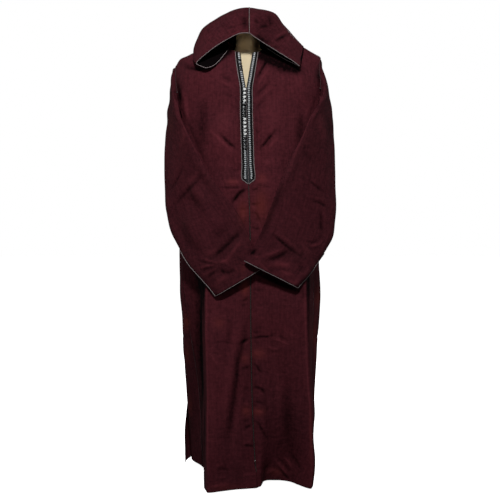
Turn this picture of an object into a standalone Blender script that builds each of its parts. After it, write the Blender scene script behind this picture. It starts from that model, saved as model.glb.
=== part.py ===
"""A hooded djellaba, worn empty on a limbless dress form that stands on its own base.

Metres, +Z up, the front of the garment towards -Y, the floor at z = 0 under the neck of the form.
Left and right are as seen from the front, so the left pieces lie at -X.
Each cloth panel is a wall of even thickness through sections read from short tables.
"""
import math

import bmesh
import bpy
from mathutils import Vector

# Driving dimensions of the cloth
CLOTH = 0.002
SEAM_GAP = 0.0008
LAID_GAP = 0.0003
HEM_Z = 0.006
ARMPIT_Z = 1.090
YOKE_Z = 1.190
SHOULDER_HALF = 0.2355
SHOULDER_TOP_Z = 1.450
SHOULDER_SLOPE = 0.30
SHOULDER_DROP = 0.160
SHOULDER_TILT = 0.25
CHEST_HALF = 0.245
CHEST_FRONT = 0.127
CHEST_BACK = 0.108

# The front slit and its placket
SLIT_FOOT_Z = 0.971
SLIT_HALF = 0.0045
V_FOOT_Z = 1.2725
V_TOP_Z = 1.383
V_TOP_X = {-1: -0.0241, 1: 0.0180}
NECK_SIDE_X = 0.066
NECK_BACK_Z = 1.4187

# The form that carries the cloth
FORM_CLEAR = 0.0015
BASE_CENTRE = (0.0, 0.062)
BASE_RADIUS = 0.110
BASE_THICK = 0.008
EDGE_ROUND = 0.0015
POLE_RADIUS = 0.016
TORSO_FOOT_Z = 0.735
NECK_TOP_Z = 1.500
CAP_TOP_Z = 1.5270
CAP_RADIUS = 0.046
CAP_DOME = 0.018

COLOURS = {
    "cloth": ((0.042, 0.010, 0.014), 0.62, 0.0),
    "piping": ((0.33, 0.31, 0.31), 0.45, 0.0),
    "braid": ((0.55, 0.55, 0.56), 0.38, 0.2),
    "black": ((0.008, 0.008, 0.010), 0.55, 0.0),
    "underlay": ((0.05, 0.05, 0.06), 0.60, 0.0),
    "white": ((0.72, 0.72, 0.70), 0.45, 0.0),
    "form": ((0.78, 0.68, 0.50), 0.75, 0.0),
    "wood": ((0.36, 0.22, 0.11), 0.45, 0.0),
    "steel": ((0.25, 0.25, 0.26), 0.35, 1.0),
}


class Table:
    """Rows of numbers under named columns, read between the rows along a smooth curve."""

    def __init__(self, columns, rows):
        self.columns = columns.split()
        self.rows = sorted(rows)
        self.keys = [row[0] for row in self.rows]

    def at(self, name, key):
        """Value of one column at a key, by cubic pieces with matched slopes."""
        values = [row[self.columns.index(name)] for row in self.rows]
        keys = self.keys
        key = min(max(key, keys[0]), keys[-1])
        i = max(k for k in range(len(keys) - 1) if keys[k] <= key or k == 0)
        span = keys[i + 1] - keys[i]
        t = (key - keys[i]) / span
        step = (values[i + 1] - values[i]) / span
        before = step if i == 0 else (values[i + 1] - values[i - 1]) / (keys[i + 1] - keys[i - 1])
        last = i + 2 == len(keys)
        after = step if last else (values[i + 2] - values[i]) / (keys[i + 2] - keys[i])
        slow = 3 * t * t - 2 * t * t * t
        bend_in = t * (1 - t) * (1 - t)
        bend_out = -t * t * (1 - t)
        return values[i] * (1 - slow) + values[i + 1] * slow + span * (before * bend_in + after * bend_out)

    def point(self, name, key, z=None):
        """A point from the columns name_x, name_y and, unless z is given, name_z."""
        height = self.at(name + "_z", key) if z is None else z
        return Vector((self.at(name + "_x", key), self.at(name + "_y", key), height))


# Front panels: the stations of each level section, from the centre seam out to the side seam.
FRONT = {
    -1: Table("z centre_x centre_y inner_x inner_y middle_x middle_y fold_x fold_y valley_x valley_y"
              " seam_x seam_y", [
        (0.006, 0.026, -0.121, -0.015, -0.131, -0.06, -0.145,
         -0.132, -0.166, -0.147, -0.02, -0.152, 0.075),
        (0.1, 0.0215, -0.126, -0.018, -0.135, -0.06, -0.146,
         -0.132, -0.165, -0.148, -0.03, -0.158, 0.055),
        (0.25, 0.0145, -0.136, -0.022, -0.142, -0.062, -0.149,
         -0.1325, -0.163, -0.15, -0.05, -0.163, 0.02),
        (0.42, 0.0105, -0.144, -0.026, -0.148, -0.065, -0.152,
         -0.133, -0.16, -0.151, -0.075, -0.176, -0.03),
        (0.56, 0.0085, -0.148, -0.028, -0.151, -0.066, -0.154,
         -0.1335, -0.156, -0.153, -0.09, -0.196, -0.05),
        (0.7, 0.008, -0.15, -0.03, -0.152, -0.068, -0.152, -0.1335, -0.15, -0.16, -0.1, -0.2125, -0.04),
        (0.85, 0.006, -0.146, -0.032, -0.147, -0.072, -0.145,
         -0.135, -0.13, -0.17, -0.1, -0.207, -0.045),
        (1.0, 0.001, -0.138, -0.035, -0.138, -0.074, -0.134,
         -0.135, -0.116, -0.17, -0.094, -0.2, -0.055),
        (1.09, -0.002, -0.131, -0.036, -0.131, -0.074, -0.1275,
         -0.135, -0.113, -0.17, -0.094, -0.2, -0.068),
        (1.19, -0.005, -0.127, -0.038, -0.1268, -0.078, -0.124,
         -0.14, -0.111, -0.178, -0.0955, -0.212, -0.071),
    ]),
    1: Table("z centre_x centre_y inner_x inner_y middle_x middle_y wide_x wide_y fold_x fold_y"
             " valley_x valley_y seam_x seam_y", [
        (0.006, 0.026, -0.121, 0.04, -0.112, 0.05, -0.068,
         0.105, -0.046, 0.2, -0.131, 0.207, -0.06, 0.208, 0.0),
        (0.1, 0.0215, -0.126, 0.042, -0.123, 0.062, -0.1,
         0.11, -0.078, 0.2045, -0.136, 0.21, -0.07, 0.21, -0.02),
        (0.25, 0.0145, -0.136, 0.045, -0.138, 0.07, -0.134,
         0.115, -0.127, 0.199, -0.143, 0.205, -0.085, 0.207, -0.04),
        (0.42, 0.0105, -0.144, 0.045, -0.147, 0.075, -0.149,
         0.118, -0.15, 0.194, -0.147, 0.202, -0.095, 0.207, -0.06),
        (0.56, 0.0085, -0.148, 0.045, -0.151, 0.075, -0.154,
         0.118, -0.156, 0.189, -0.15, 0.199, -0.1, 0.208, -0.065),
        (0.7, 0.008, -0.15, 0.043, -0.152, 0.073, -0.154,
         0.116, -0.155, 0.184, -0.147, 0.196, -0.105, 0.21, -0.06),
        (0.85, 0.006, -0.146, 0.04, -0.147, 0.068, -0.146,
         0.106, -0.142, 0.16, -0.124, 0.187, -0.092, 0.207, -0.045),
        (1.0, 0.001, -0.138, 0.034, -0.138, 0.06, -0.136,
         0.096, -0.13, 0.145, -0.112, 0.175, -0.091, 0.2, -0.055),
        (1.09, -0.002, -0.131, 0.028, -0.131, 0.055, -0.129,
         0.092, -0.124, 0.142, -0.111, 0.174, -0.092, 0.2, -0.068),
        (1.19, -0.005, -0.127, 0.024, -0.127, 0.052, -0.1262,
         0.09, -0.1225, 0.144, -0.1095, 0.18, -0.0945, 0.212, -0.071),
    ]),
}
FRONT_STATIONS = {-1: "centre inner middle fold valley seam", 1: "centre inner middle wide fold valley seam"}
FRONT_STEPS = {-1: (2, 2, 3, 3, 2), 1: (2, 2, 2, 3, 2, 2)}
GORE_STEPS = (3, 3)
LOW_LEVELS = 11
UPPER_RISES = (0.14, 0.2812, 0.37, 0.46, 0.56, 0.67, 0.77, 0.86, 0.94, 1.0)
FOLD_RADIUS = {-1: 0.007, 1: 0.009}

# Side gores: their outermost line and the seam with the back panel.
GORE = {
    -1: Table("z out_x out_y rear_x rear_y", [
        (0.006, -0.188, 0.135, -0.196, 0.172),
        (0.100, -0.193, 0.120, -0.200, 0.163),
        (0.250, -0.2025, 0.095, -0.2005, 0.145),
        (0.420, -0.2100, 0.055, -0.2010, 0.125),
        (0.560, -0.2145, 0.030, -0.2035, 0.108),
        (0.700, -0.2220, 0.015, -0.2070, 0.092),
        (0.850, -0.2165, 0.005, -0.2030, 0.080),
        (1.000, -0.2075, 0.000, -0.1980, 0.070),
        (1.090, -0.2050, 0.000, -0.2000, 0.062),
    ]),
    1: Table("z out_x out_y rear_x rear_y", [
        (0.006, 0.2120, 0.060, 0.203, 0.150),
        (0.100, 0.2155, 0.055, 0.205, 0.145),
        (0.250, 0.2165, 0.045, 0.206, 0.138),
        (0.420, 0.2245, 0.030, 0.208, 0.125),
        (0.560, 0.2335, 0.020, 0.212, 0.110),
        (0.700, 0.2340, 0.012, 0.214, 0.095),
        (0.850, 0.2200, 0.004, 0.206, 0.080),
        (1.000, 0.2075, 0.000, 0.198, 0.070),
        (1.090, 0.2050, 0.000, 0.200, 0.062),
    ]),
}

# Back panel: centre, a quarter line at each side, the rear corner and the side edge.
BACK = {
    -1: Table("z centre_x centre_y quarter_x quarter_y corner_x corner_y edge_x edge_y", [
        (0.006, 0.0, 0.196, -0.115, 0.203, -0.208, 0.2, -0.2145, 0.158),
        (0.1, 0.0, 0.19, -0.115, 0.196, -0.208, 0.192, -0.2165, 0.152),
        (0.22, 0.0, 0.182, -0.114, 0.186, -0.2, 0.178, -0.206, 0.15),
        (0.27, 0.0, 0.178, -0.113, 0.181, -0.19, 0.168, -0.2006, 0.1433),
        (0.42, 0.0, 0.165, -0.11, 0.166, -0.184, 0.148, -0.201, 0.125),
        (0.56, 0.0, 0.15, -0.108, 0.149, -0.184, 0.127, -0.2035, 0.108),
        (0.7, 0.0, 0.137, -0.107, 0.134, -0.186, 0.11, -0.207, 0.092),
        (0.85, 0.0, 0.125, -0.106, 0.121, -0.18, 0.098, -0.203, 0.08),
        (1.0, 0.0, 0.115, -0.105, 0.109, -0.172, 0.088, -0.198, 0.07),
        (1.09, 0.0, 0.11, -0.105, 0.104, -0.172, 0.082, -0.2, 0.062),
        (1.19, 0.0, 0.108, -0.106, 0.1015, -0.178, 0.081, -0.212, 0.0605),
    ]),
    1: Table("z centre_x centre_y quarter_x quarter_y corner_x corner_y edge_x edge_y", [
        (0.006, 0.0, 0.196, 0.115, 0.2, 0.194, 0.188, 0.206, 0.16),
        (0.1, 0.0, 0.19, 0.115, 0.193, 0.193, 0.18, 0.207, 0.154),
        (0.22, 0.0, 0.182, 0.114, 0.184, 0.192, 0.169, 0.2065, 0.144),
        (0.27, 0.0, 0.178, 0.113, 0.18, 0.191, 0.164, 0.206, 0.137),
        (0.42, 0.0, 0.165, 0.11, 0.166, 0.189, 0.149, 0.208, 0.125),
        (0.56, 0.0, 0.15, 0.108, 0.149, 0.189, 0.129, 0.212, 0.11),
        (0.7, 0.0, 0.137, 0.107, 0.134, 0.19, 0.113, 0.214, 0.095),
        (0.85, 0.0, 0.125, 0.106, 0.121, 0.182, 0.099, 0.206, 0.08),
        (1.0, 0.0, 0.115, 0.105, 0.109, 0.172, 0.088, 0.198, 0.07),
        (1.09, 0.0, 0.11, 0.105, 0.104, 0.172, 0.082, 0.2, 0.062),
        (1.19, 0.0, 0.108, 0.106, 0.1015, 0.178, 0.081, 0.212, 0.0605),
    ]),
}
BACK_STATIONS = "centre quarter corner edge"
BACK_STEPS = (3, 3, 3)

# Sleeves: the outer fold, the fold on the chest, and two lines on the hidden side of each section.
SLEEVE = {
    -1: Table("ring outer_x outer_y outer_z inner_x inner_y inner_z pit_x pit_y pit_z"
              " rear_x rear_y rear_z swell", [
        (1, -0.2405, 0.0, 1.338, -0.2275, -0.078, 1.228,
         -0.209, 0.0, 1.076, -0.2325, 0.066, 1.222, 0.012),
        (2, -0.247, 0.0, 1.279, -0.221, -0.1, 1.196,
         -0.2115, -0.004, 1.056, -0.24, 0.073, 1.175, 0.014),
        (3, -0.2565, -0.005, 1.209, -0.2, -0.12, 1.15,
         -0.2135, -0.01, 1.028, -0.243, 0.07, 1.115, 0.016),
        (4, -0.2635, -0.012, 1.139, -0.168, -0.137, 1.086,
         -0.214, -0.022, 0.992, -0.244, 0.06, 1.055, 0.018),
        (5, -0.267, -0.02, 1.065, -0.1304, -0.149, 1.016,
         -0.208, -0.062, 0.962, -0.243, 0.042, 0.99, 0.02),
        (6, -0.2615, -0.045, 0.948, -0.085, -0.158, 0.951,
         -0.16, -0.14, 0.905, -0.238, -0.002, 0.905, 0.022),
        (7, -0.25, -0.07, 0.864, -0.0465, -0.163, 0.902,
         -0.115, -0.156, 0.862, -0.205, -0.105, 0.838, 0.02),
        (8, -0.231, -0.1, 0.802, -0.0155, -0.165, 0.849,
         -0.085, -0.16, 0.818, -0.165, -0.15, 0.796, 0.018),
        (9, -0.18, -0.148, 0.722, 0.009, -0.17, 0.79, -0.05, -0.164, 0.76, -0.12, -0.163, 0.738, 0.014),
        (10, -0.0987, -0.17, 0.6285, 0.034, -0.172, 0.7076,
         -0.005, -0.164, 0.684, -0.06, -0.163, 0.654, 0.01),
    ]),
    1: Table("ring outer_x outer_y outer_z inner_x inner_y inner_z pit_x pit_y pit_z"
             " rear_x rear_y rear_z swell", [
        (1, 0.241, 0.0, 1.352, 0.2285, -0.078, 1.245, 0.209, 0.0, 1.076, 0.233, 0.066, 1.235, 0.012),
        (2, 0.252, 0.0, 1.29, 0.224, -0.1, 1.222, 0.2115, -0.004, 1.056, 0.243, 0.073, 1.185, 0.014),
        (3, 0.263, -0.005, 1.221, 0.195, -0.12, 1.18, 0.214, -0.01, 1.035, 0.249, 0.07, 1.125, 0.016),
        (4, 0.2715, -0.012, 1.14, 0.17, -0.136, 1.12, 0.215, -0.022, 0.998, 0.254, 0.06, 1.065, 0.018),
        (5, 0.279, -0.02, 1.06, 0.138, -0.149, 1.058, 0.21, -0.062, 0.975, 0.256, 0.042, 1.0, 0.022),
        (6, 0.281, -0.045, 0.945, 0.1, -0.161, 0.978, 0.165, -0.14, 0.925, 0.252, -0.002, 0.905, 0.026),
        (7, 0.2745, -0.07, 0.864, 0.07, -0.172, 0.9, 0.13, -0.158, 0.87, 0.22, -0.1, 0.845, 0.024),
        (8, 0.255, -0.095, 0.788, 0.043, -0.183, 0.828,
         0.105, -0.17, 0.805, 0.185, -0.135, 0.785, 0.022),
        (9, 0.212, -0.135, 0.722, 0.015, -0.192, 0.775,
         0.075, -0.182, 0.755, 0.15, -0.158, 0.735, 0.016),
        (10, 0.152, -0.176, 0.6546, -0.0092, -0.196, 0.7377,
         0.04, -0.186, 0.713, 0.1, -0.176, 0.684, 0.01),
    ]),
}
SLEEVE_STEPS = (1, 3, 3, 1, 1, 3, 3, 3, 1)
FOLD_LONG = 0.0045
FOLD_HALF = 0.0026
LAYER_GAP = 0.0075
RINGS_BETWEEN = 2
SLEEVE_CLEAR = 0.0080
ARMHOLE_OUT = 0.0033
ARMPIT_OUT = 0.0024
ARMPIT_UP = 0.0050

# Hood: the seam line over the crown, then the side fold and the layer under it, by arch number.
HOOD_TOP = Table("arch y z", [
    (0, -0.150, 1.434), (1, -0.128, 1.470), (2, -0.090, 1.508), (3, -0.045, 1.5300), (4, 0.005, 1.5315),
    (5, 0.050, 1.5265), (6, 0.092, 1.490), (7, 0.125, 1.430), (8, 0.148, 1.360), (9, 0.160, 1.300),
])
HOOD_SIDE = {
    -1: Table("arch side_x side_y side_z under_x under_y under_z wide tall", [
        (0, -0.162, -0.11, 1.348, -0.128, -0.124, 1.332, 1.85, 1.0),
        (1, -0.168, -0.093, 1.354, -0.13, -0.104, 1.35, 1.9, 1.02),
        (2, -0.171, -0.074, 1.364, -0.127, -0.076, 1.38, 2.2, 1.0),
        (3, -0.1715, -0.052, 1.38, -0.12, -0.042, 1.405, 2.0, 1.3),
        (4, -0.169, -0.024, 1.4, -0.115, -0.004, 1.42, 2.0, 1.5),
        (5, -0.152, 0.01, 1.407, -0.1, 0.03, 1.42, 2.2, 1.5),
        (6, -0.128, 0.055, 1.399, -0.08, 0.064, 1.406, 2.2, 1.3),
        (7, -0.096, 0.095, 1.365, -0.055, 0.09, 1.385, 2.0, 1.3),
        (8, -0.055, 0.128, 1.318, -0.03, 0.11, 1.35, 2.0, 1.3),
        (9, -0.0009, 0.15, 1.285, -0.0009, 0.124, 1.345, 2.0, 1.3),
    ]),
    1: Table("arch side_x side_y side_z under_x under_y under_z wide tall", [
        (0, 0.17, -0.112, 1.337, 0.122, -0.111, 1.357, 0.95, 1.0),
        (1, 0.175, -0.095, 1.345, 0.126, -0.098, 1.366, 1.3, 0.96),
        (2, 0.178, -0.075, 1.36, 0.126, -0.076, 1.386, 2.0, 0.76),
        (3, 0.178, -0.052, 1.382, 0.12, -0.042, 1.411, 2.4, 0.72),
        (4, 0.172, -0.024, 1.402, 0.115, -0.004, 1.426, 2.4, 0.84),
        (5, 0.157, 0.012, 1.412, 0.1, 0.03, 1.426, 2.2, 1.2),
        (6, 0.132, 0.057, 1.4, 0.08, 0.064, 1.412, 2.2, 1.25),
        (7, 0.098, 0.096, 1.367, 0.055, 0.09, 1.388, 2.0, 1.3),
        (8, 0.056, 0.128, 1.319, 0.03, 0.11, 1.351, 2.0, 1.3),
        (9, 0.0009, 0.15, 1.285, 0.0009, 0.124, 1.345, 2.0, 1.3),
    ]),
}
HOOD_SEAM_X = 0.004
HOOD_NECK_LIFT = 0.0032
HOOD_SEAM_HALF = 0.0009
HOOD_OVER = 0.0054
HOOD_ARCHES = 15
HOOD_TOP_STEPS = 8
HOOD_UNDER_STEPS = 5

# Form sections: half width and the reach to the front and the back.
FORM = Table("z half front back", [
    (0.735, 0.120, 0.085, 0.080), (0.750, 0.148, 0.104, 0.098), (0.790, 0.168, 0.116, 0.108),
    (0.860, 0.172, 0.118, 0.106), (0.950, 0.157, 0.110, 0.090), (1.020, 0.147, 0.106, 0.082),
    (1.100, 0.157, 0.108, 0.084), (1.190, 0.172, 0.106, 0.086), (1.270, 0.182, 0.098, 0.082),
    (1.320, 0.187, 0.086, 0.074), (1.350, 0.188, 0.074, 0.066), (1.375, 0.181, 0.062, 0.058),
    (1.400, 0.130, 0.052, 0.052), (1.425, 0.056, 0.048, 0.048), (1.450, 0.050, 0.048, 0.048),
    (1.500, 0.048, 0.048, 0.048),
])
FORM_LEVELS = (0.735, 0.741, 0.752, 0.775, 0.82, 0.87, 0.93, 1.0, 1.06, 1.13, 1.20, 1.26, 1.31, 1.345,
               1.365, 1.38, 1.39, 1.40, 1.41, 1.418, 1.426, 1.436, 1.455, NECK_TOP_Z)
FORM_SHOULDER_Z = 1.380
FORM_ROUND = 2.3
FORM_SIDES = 24
FORM_SINK = 0.0033
FORM_NECK = 0.036

# Trims
BRAID_WIDE = 0.0066
BAND_WIDE = 0.0050
PIPE_WIDE = 0.0030
BRAID_THICK = 0.0016
BAND_THICK = 0.0010
PIPE_THICK = 0.0024
TRIM_GAP = 0.0005
UNDERLAY_THICK = 0.0012
KNOT_INSET = 0.0018
EDGE_PIPE = 0.0017
KNOT_TOP_Z = 1.265
KNOT_PITCH = 0.0115
KNOT_RUNS = (("white", 4), ("black", 4), ("white", 5), ("black", 4))
V_KNOTS = 4
V_KNOT_TOP_Z = 1.352
V_KNOT_PITCH = 0.0095
KNOT_LONG = 0.0104
KNOT_TALL = 0.0076
KNOT_DEEP = 0.0052
KNOT_SIDES = 6
# Place along half a knot's length, and its share of the full thickness there
KNOT_BARREL = ((-1.0, 0.45), (-0.62, 0.92), (0.0, 1.0), (0.62, 0.92), (1.0, 0.45))

# The foot of the placket: heights above the foot of the slit, and distances from its edge
PLACKET_STRAIGHT = 0.040
PIPE_FOOT = 0.0036
BRAID_FOOT = 0.0052
PIPE_TIP = ((0.0035, 0.0004), (0.0005, 0.0026))
PLACKET_TOP_DROP = 0.002
UNDERLAY_FOOT = 0.004
UNDERLAY_REACH = 0.007

# Braids and cords over the seams: where they start, and how wide and how thick they are
LAID_SLACK = 0.0001
SEAM_BRAID_FOOT_Z = 0.055
SEAM_BRAID_HALF = 0.0016
SEAM_BRAID_LOW = 0.0005
SEAM_BRAID_HIGH = 0.0017
SIDE_TRIM_FOOT_Z = 0.030
SIDE_TRIM_TOP_Z = 0.960
SIDE_TRIM_HALF = 0.0012
SIDE_TRIM_LOW = 0.0003
SIDE_TRIM_HIGH = 0.0015
ARM_TRIM_RISES = (0.30, 0.93, 7)
ARM_TRIM_INSET = 0.0045
ARM_TRIM_LIFT = 0.0013
ARM_TRIM_RADIUS = 0.0011
RISE_STEP = 0.01
CUFF_PIPE_GAP = 0.0009
SLEEVE_PIPE_LIFT = 0.0018
SLEEVE_PIPE_RADIUS = 0.0013
BRIM_PIPE_GAP = 0.0016
HOOD_BRAID_ARCHES = (0.06, 8.9, 24)
HOOD_BRAID_HALF = 0.0024
HOOD_BRAID_LOW = 0.0004
HOOD_BRAID_HIGH = 0.0018
ARCH_STEP = 0.05


def material(name):
    """One plain material for each finish."""
    found = bpy.data.materials.get(name)
    if found:
        return found
    colour, rough, metal = COLOURS[name]
    made = bpy.data.materials.new(name)
    made.use_nodes = True
    shader = made.node_tree.nodes["Principled BSDF"]
    shader.inputs["Base Color"].default_value = (*colour, 1.0)
    shader.inputs["Roughness"].default_value = rough
    shader.inputs["Metallic"].default_value = metal
    made.diffuse_color = (*colour, 1.0)
    return made


def add_object(name, data, finish, parts):
    """Link a finished mesh or curve under its node's name."""
    made = bpy.data.objects.new(name, data)
    data.materials.append(material(finish))
    parts.objects.link(made)
    return made


def curve_through(points, steps):
    """Points along a smooth curve through the given ones, with a number of steps for each span."""
    ends = [points[0] * 2 - points[1]] + list(points) + [points[-1] * 2 - points[-2]]
    return span_points(ends, steps) + [points[-1].copy()]


def loop_through(points, steps):
    """Points round a closed smooth curve through the given ones."""
    around = [points[-1]] + list(points) + [points[0], points[1]]
    return span_points(around, steps)


def span_points(padded, steps):
    """Cubic spans between the inner points, with slopes limited by the shorter neighbour."""
    made = []
    for i, count in enumerate(steps):
        a, b, c, d = padded[i:i + 4]
        left, mid, right = (b - a).length, (c - b).length, (d - c).length
        slope_b = ((b - a) / max(left, 1e-9) * mid + (c - b) * left / max(mid, 1e-9)) / (left + mid)
        slope_c = ((c - b) / max(mid, 1e-9) * right + (d - c) * mid / max(right, 1e-9)) / (mid + right)
        for k in range(count):
            t = k / count
            slow = 3 * t * t - 2 * t * t * t
            made.append(b * (1 - slow) + c * slow
                        + mid * (slope_b * t * (1 - t) * (1 - t) - slope_c * t * t * (1 - t)))
    return made


def round_corner(points, index, radius):
    """Replace one sharp point by three on a small rounding."""
    before = points[index] + (points[index - 1] - points[index]).normalized() * radius
    after = points[index] + (points[index + 1] - points[index]).normalized() * radius
    middle = (before + after) * 0.25 + points[index] * 0.5
    return points[:index] + [before, middle, after] + points[index + 1:]


def trimmed(points, first, last):
    """Shorten a line by the given lengths at its two ends."""
    points = [point.copy() for point in points]
    points[0] += (points[1] - points[0]).normalized() * first
    points[-1] += (points[-2] - points[-1]).normalized() * last
    return points


def along(points, distance):
    """Point at a distance along a line of points, and the direction there."""
    for a, b in zip(points, points[1:]):
        length = (b - a).length
        if distance <= length:
            return a + (b - a) * (distance / length), (b - a).normalized()
        distance -= length
    direction = (points[-1] - points[-2]).normalized()
    return points[-1] + direction * distance, direction


def shoulder_z(x):
    """Height of the shoulder ridge, a little lower on the left than on the right."""
    run = math.hypot(x, 0.03)
    droop = 4.5 * max(0.0, abs(x) - 0.17) ** 2
    return SHOULDER_TOP_Z - SHOULDER_SLOPE * run - droop + SHOULDER_TILT * x * abs(x)


def chest_depth(x, reach):
    """How far the cloth stands from the ridge plane at chest height."""
    return reach * math.sqrt(max(0.0, 1 - min(1.0, abs(x) / CHEST_HALF) ** 2.6))


def upper_point(x, z, face):
    """Point on the cloth over the chest (face -1) or the upper back (face 1)."""
    down = min(1.0, max(0.0, (shoulder_z(x) - z) / SHOULDER_DROP))
    reach = CHEST_FRONT if face < 0 else CHEST_BACK
    depth = chest_depth(x, reach) * math.sqrt(1 - (1 - down) ** 2)
    return Vector((x, face * (depth + SEAM_GAP / 2), z))


def armhole_x(z, side):
    """Where a panel ends at the armhole, above the yoke."""
    rise = min(1.0, max(0.0, (z - YOKE_Z) / 0.13))
    return side * (0.212 + (SHOULDER_HALF - 0.212) * math.sin(rise * math.pi / 2))


def slit_edge_x(z, side):
    """Edge of a front panel at the centre: the seam, then the slit, then the open V."""
    centre = FRONT[side].at("centre_x", z)
    opened = min(1.0, max(0.0, (z - SLIT_FOOT_Z) / 0.012))
    edge = centre + side * (SEAM_GAP / 2 + (SLIT_HALF - SEAM_GAP / 2) * opened)
    if z <= V_FOOT_Z:
        return edge
    rise = (z - V_FOOT_Z) / (V_TOP_Z - V_FOOT_Z)
    return edge + (V_TOP_X[side] - edge) * rise


def neckline(turn, side):
    """x and z of the neckline: 0 at the top of the V, 1 at the side of the neck, 2 at the centre back."""
    if turn <= 1:
        bend = turn * math.pi / 2
        x = V_TOP_X[side] + (side * NECK_SIDE_X - V_TOP_X[side]) * math.sin(bend)
        top = shoulder_z(side * NECK_SIDE_X)
        return x, V_TOP_Z + (top - V_TOP_Z) * (1 - math.cos(bend)), -1
    bend = (2 - turn) * math.pi / 2
    x = side * (SEAM_GAP * 0.1 + NECK_SIDE_X * math.sin(bend))
    top = shoulder_z(side * NECK_SIDE_X)
    return x, NECK_BACK_Z + (top - NECK_BACK_Z) * (1 - math.cos(bend)), 1


def side_section(side, z):
    """Level curve from the centre edge to the back seam, and the place of the side seam along it."""
    names = FRONT_STATIONS[side].split()
    points = [FRONT[side].point(name, z, z) for name in names]
    points[0].x = slit_edge_x(z, side)
    points += [GORE[side].point("out", z, z), GORE[side].point("rear", z, z)]
    points.append(BACK[side].point("corner", z, z))
    fold = names.index("fold")
    points = round_corner(points, fold, FOLD_RADIUS[side])
    steps = list(FRONT_STEPS[side])
    steps[fold:fold] = [1, 1]
    split = sum(steps)
    line = curve_through(points, steps + list(GORE_STEPS) + [1])
    return line[:-1], split


def front_section(side, z):
    """Level section of a front panel, from its centre edge to its side seam."""
    line, split = side_section(side, z)
    return trimmed(line[:split + 1], 0.0, SEAM_GAP / 2)


def gore_section(side, z):
    """Level section of a side gore, from the front seam to the back seam."""
    line, split = side_section(side, z)
    return trimmed(line[split:], SEAM_GAP / 2, SEAM_GAP / 2)


def back_section(side, z):
    """Level section of half the back panel, from the centre to its side edge."""
    points = [BACK[side].point(name, z, z) for name in BACK_STATIONS.split()]
    points.append(GORE[side].point("out", z, z))
    return trimmed(curve_through(points, BACK_STEPS + (1,))[:-1], 0.0, SEAM_GAP / 2)


def upper_line(side, rise, face):
    """Line of a panel over the yoke, from its centre edge or neckline to the armhole; rise is 0 to 1."""
    lower = front_section(side, YOKE_Z) if face < 0 else back_section(side, YOKE_Z)
    last = len(lower) - 1
    neck_share = 0.28 if face < 0 else 0.36
    height = math.sin(rise * math.pi / 2)
    start = V_TOP_Z if face < 0 else NECK_BACK_Z
    tip_z = shoulder_z(side * SHOULDER_HALF)
    left_z = YOKE_Z + (start - YOKE_Z) * height
    left_x = slit_edge_x(left_z, side) if face < 0 else 0.0
    right_z = YOKE_Z + (tip_z - YOKE_Z) * height
    right_x = armhole_x(right_z, side)
    line = []
    for i, foot in enumerate(lower):
        across = abs(foot.x - lower[0].x) / abs(lower[last].x - lower[0].x)
        if across < neck_share:
            turn = across / neck_share if face < 0 else 2 - across / neck_share
            top_x, top_z, _ = neckline(turn, side)
        else:
            out = (across - neck_share) / (1 - neck_share)
            top_x = side * (NECK_SIDE_X + (SHOULDER_HALF - NECK_SIDE_X) * out)
            top_z = shoulder_z(top_x)
        x = foot.x + (top_x - foot.x) * height
        start_x = lower[0].x + ((V_TOP_X[side] if face < 0 else 0.0) - lower[0].x) * height
        end_x = lower[last].x + (side * SHOULDER_HALF - lower[last].x) * height
        x += (left_x - start_x) * (1 - across) + (right_x - end_x) * across
        z = YOKE_Z + (top_z - YOKE_Z) * height
        line.append(upper_point(x, z, face))
    return line


def front_line(side, z):
    """Line of a front panel whose centre edge is at height z."""
    if z <= YOKE_Z:
        return front_section(side, z)
    height = min(1.0, (z - YOKE_Z) / (V_TOP_Z - YOKE_Z))
    return upper_line(side, math.asin(height) * 2 / math.pi, -1)


def body_levels():
    """Heights of the level sections, from the hem to the yoke, shared by all panels."""
    low = levels(HEM_Z, SLIT_FOOT_Z, LOW_LEVELS)
    return low + [SLIT_FOOT_Z + 0.012, 1.035, ARMPIT_Z, 1.14, YOKE_Z]


def panel_edge_heights():
    """Height of every row of a front panel at its centre edge."""
    tall = V_TOP_Z - YOKE_Z
    return body_levels() + [YOKE_Z + tall * math.sin(rise * math.pi / 2) for rise in UPPER_RISES]


def levels(low, high, count):
    """Evenly spaced numbers with both ends."""
    return [low + (high - low) * i / count for i in range(count + 1)]


def wall(name, grid, finish, parts, closed=False, thick=CLOTH):
    """A cloth wall through a grid of points; closed joins each row's ends into a tube."""
    form = bmesh.new()
    rows = [[form.verts.new(point) for point in line] for line in grid]
    wide = len(rows[0])
    for upper, lower in zip(rows, rows[1:]):
        for i in range(wide if closed else wide - 1):
            j = (i + 1) % wide
            form.faces.new((upper[i], upper[j], lower[j], lower[i]))
    mesh = bpy.data.meshes.new(name)
    form.to_mesh(mesh)
    form.free()
    mesh.shade_smooth()
    made = add_object(name, mesh, finish, parts)
    solid = made.modifiers.new("Wall", "SOLIDIFY")
    solid.thickness = thick
    solid.offset = 0.0
    return made


def loft(name, rings, finish, parts, smooth=True):
    """A closed solid through rings of points, with a fan at each end."""
    form = bmesh.new()
    rows = [[form.verts.new(point) for point in ring] for ring in rings]
    for upper, lower in zip(rows, rows[1:]):
        for i in range(len(upper)):
            j = (i + 1) % len(upper)
            form.faces.new((upper[i], upper[j], lower[j], lower[i]))
    form.faces.new(reversed(rows[0]))
    form.faces.new(rows[-1])
    bmesh.ops.recalc_face_normals(form, faces=form.faces)
    mesh = bpy.data.meshes.new(name)
    form.to_mesh(mesh)
    form.free()
    if smooth:
        mesh.shade_smooth()
        mesh.set_sharp_from_angle(angle=math.radians(50))
    return add_object(name, mesh, finish, parts)


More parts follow.
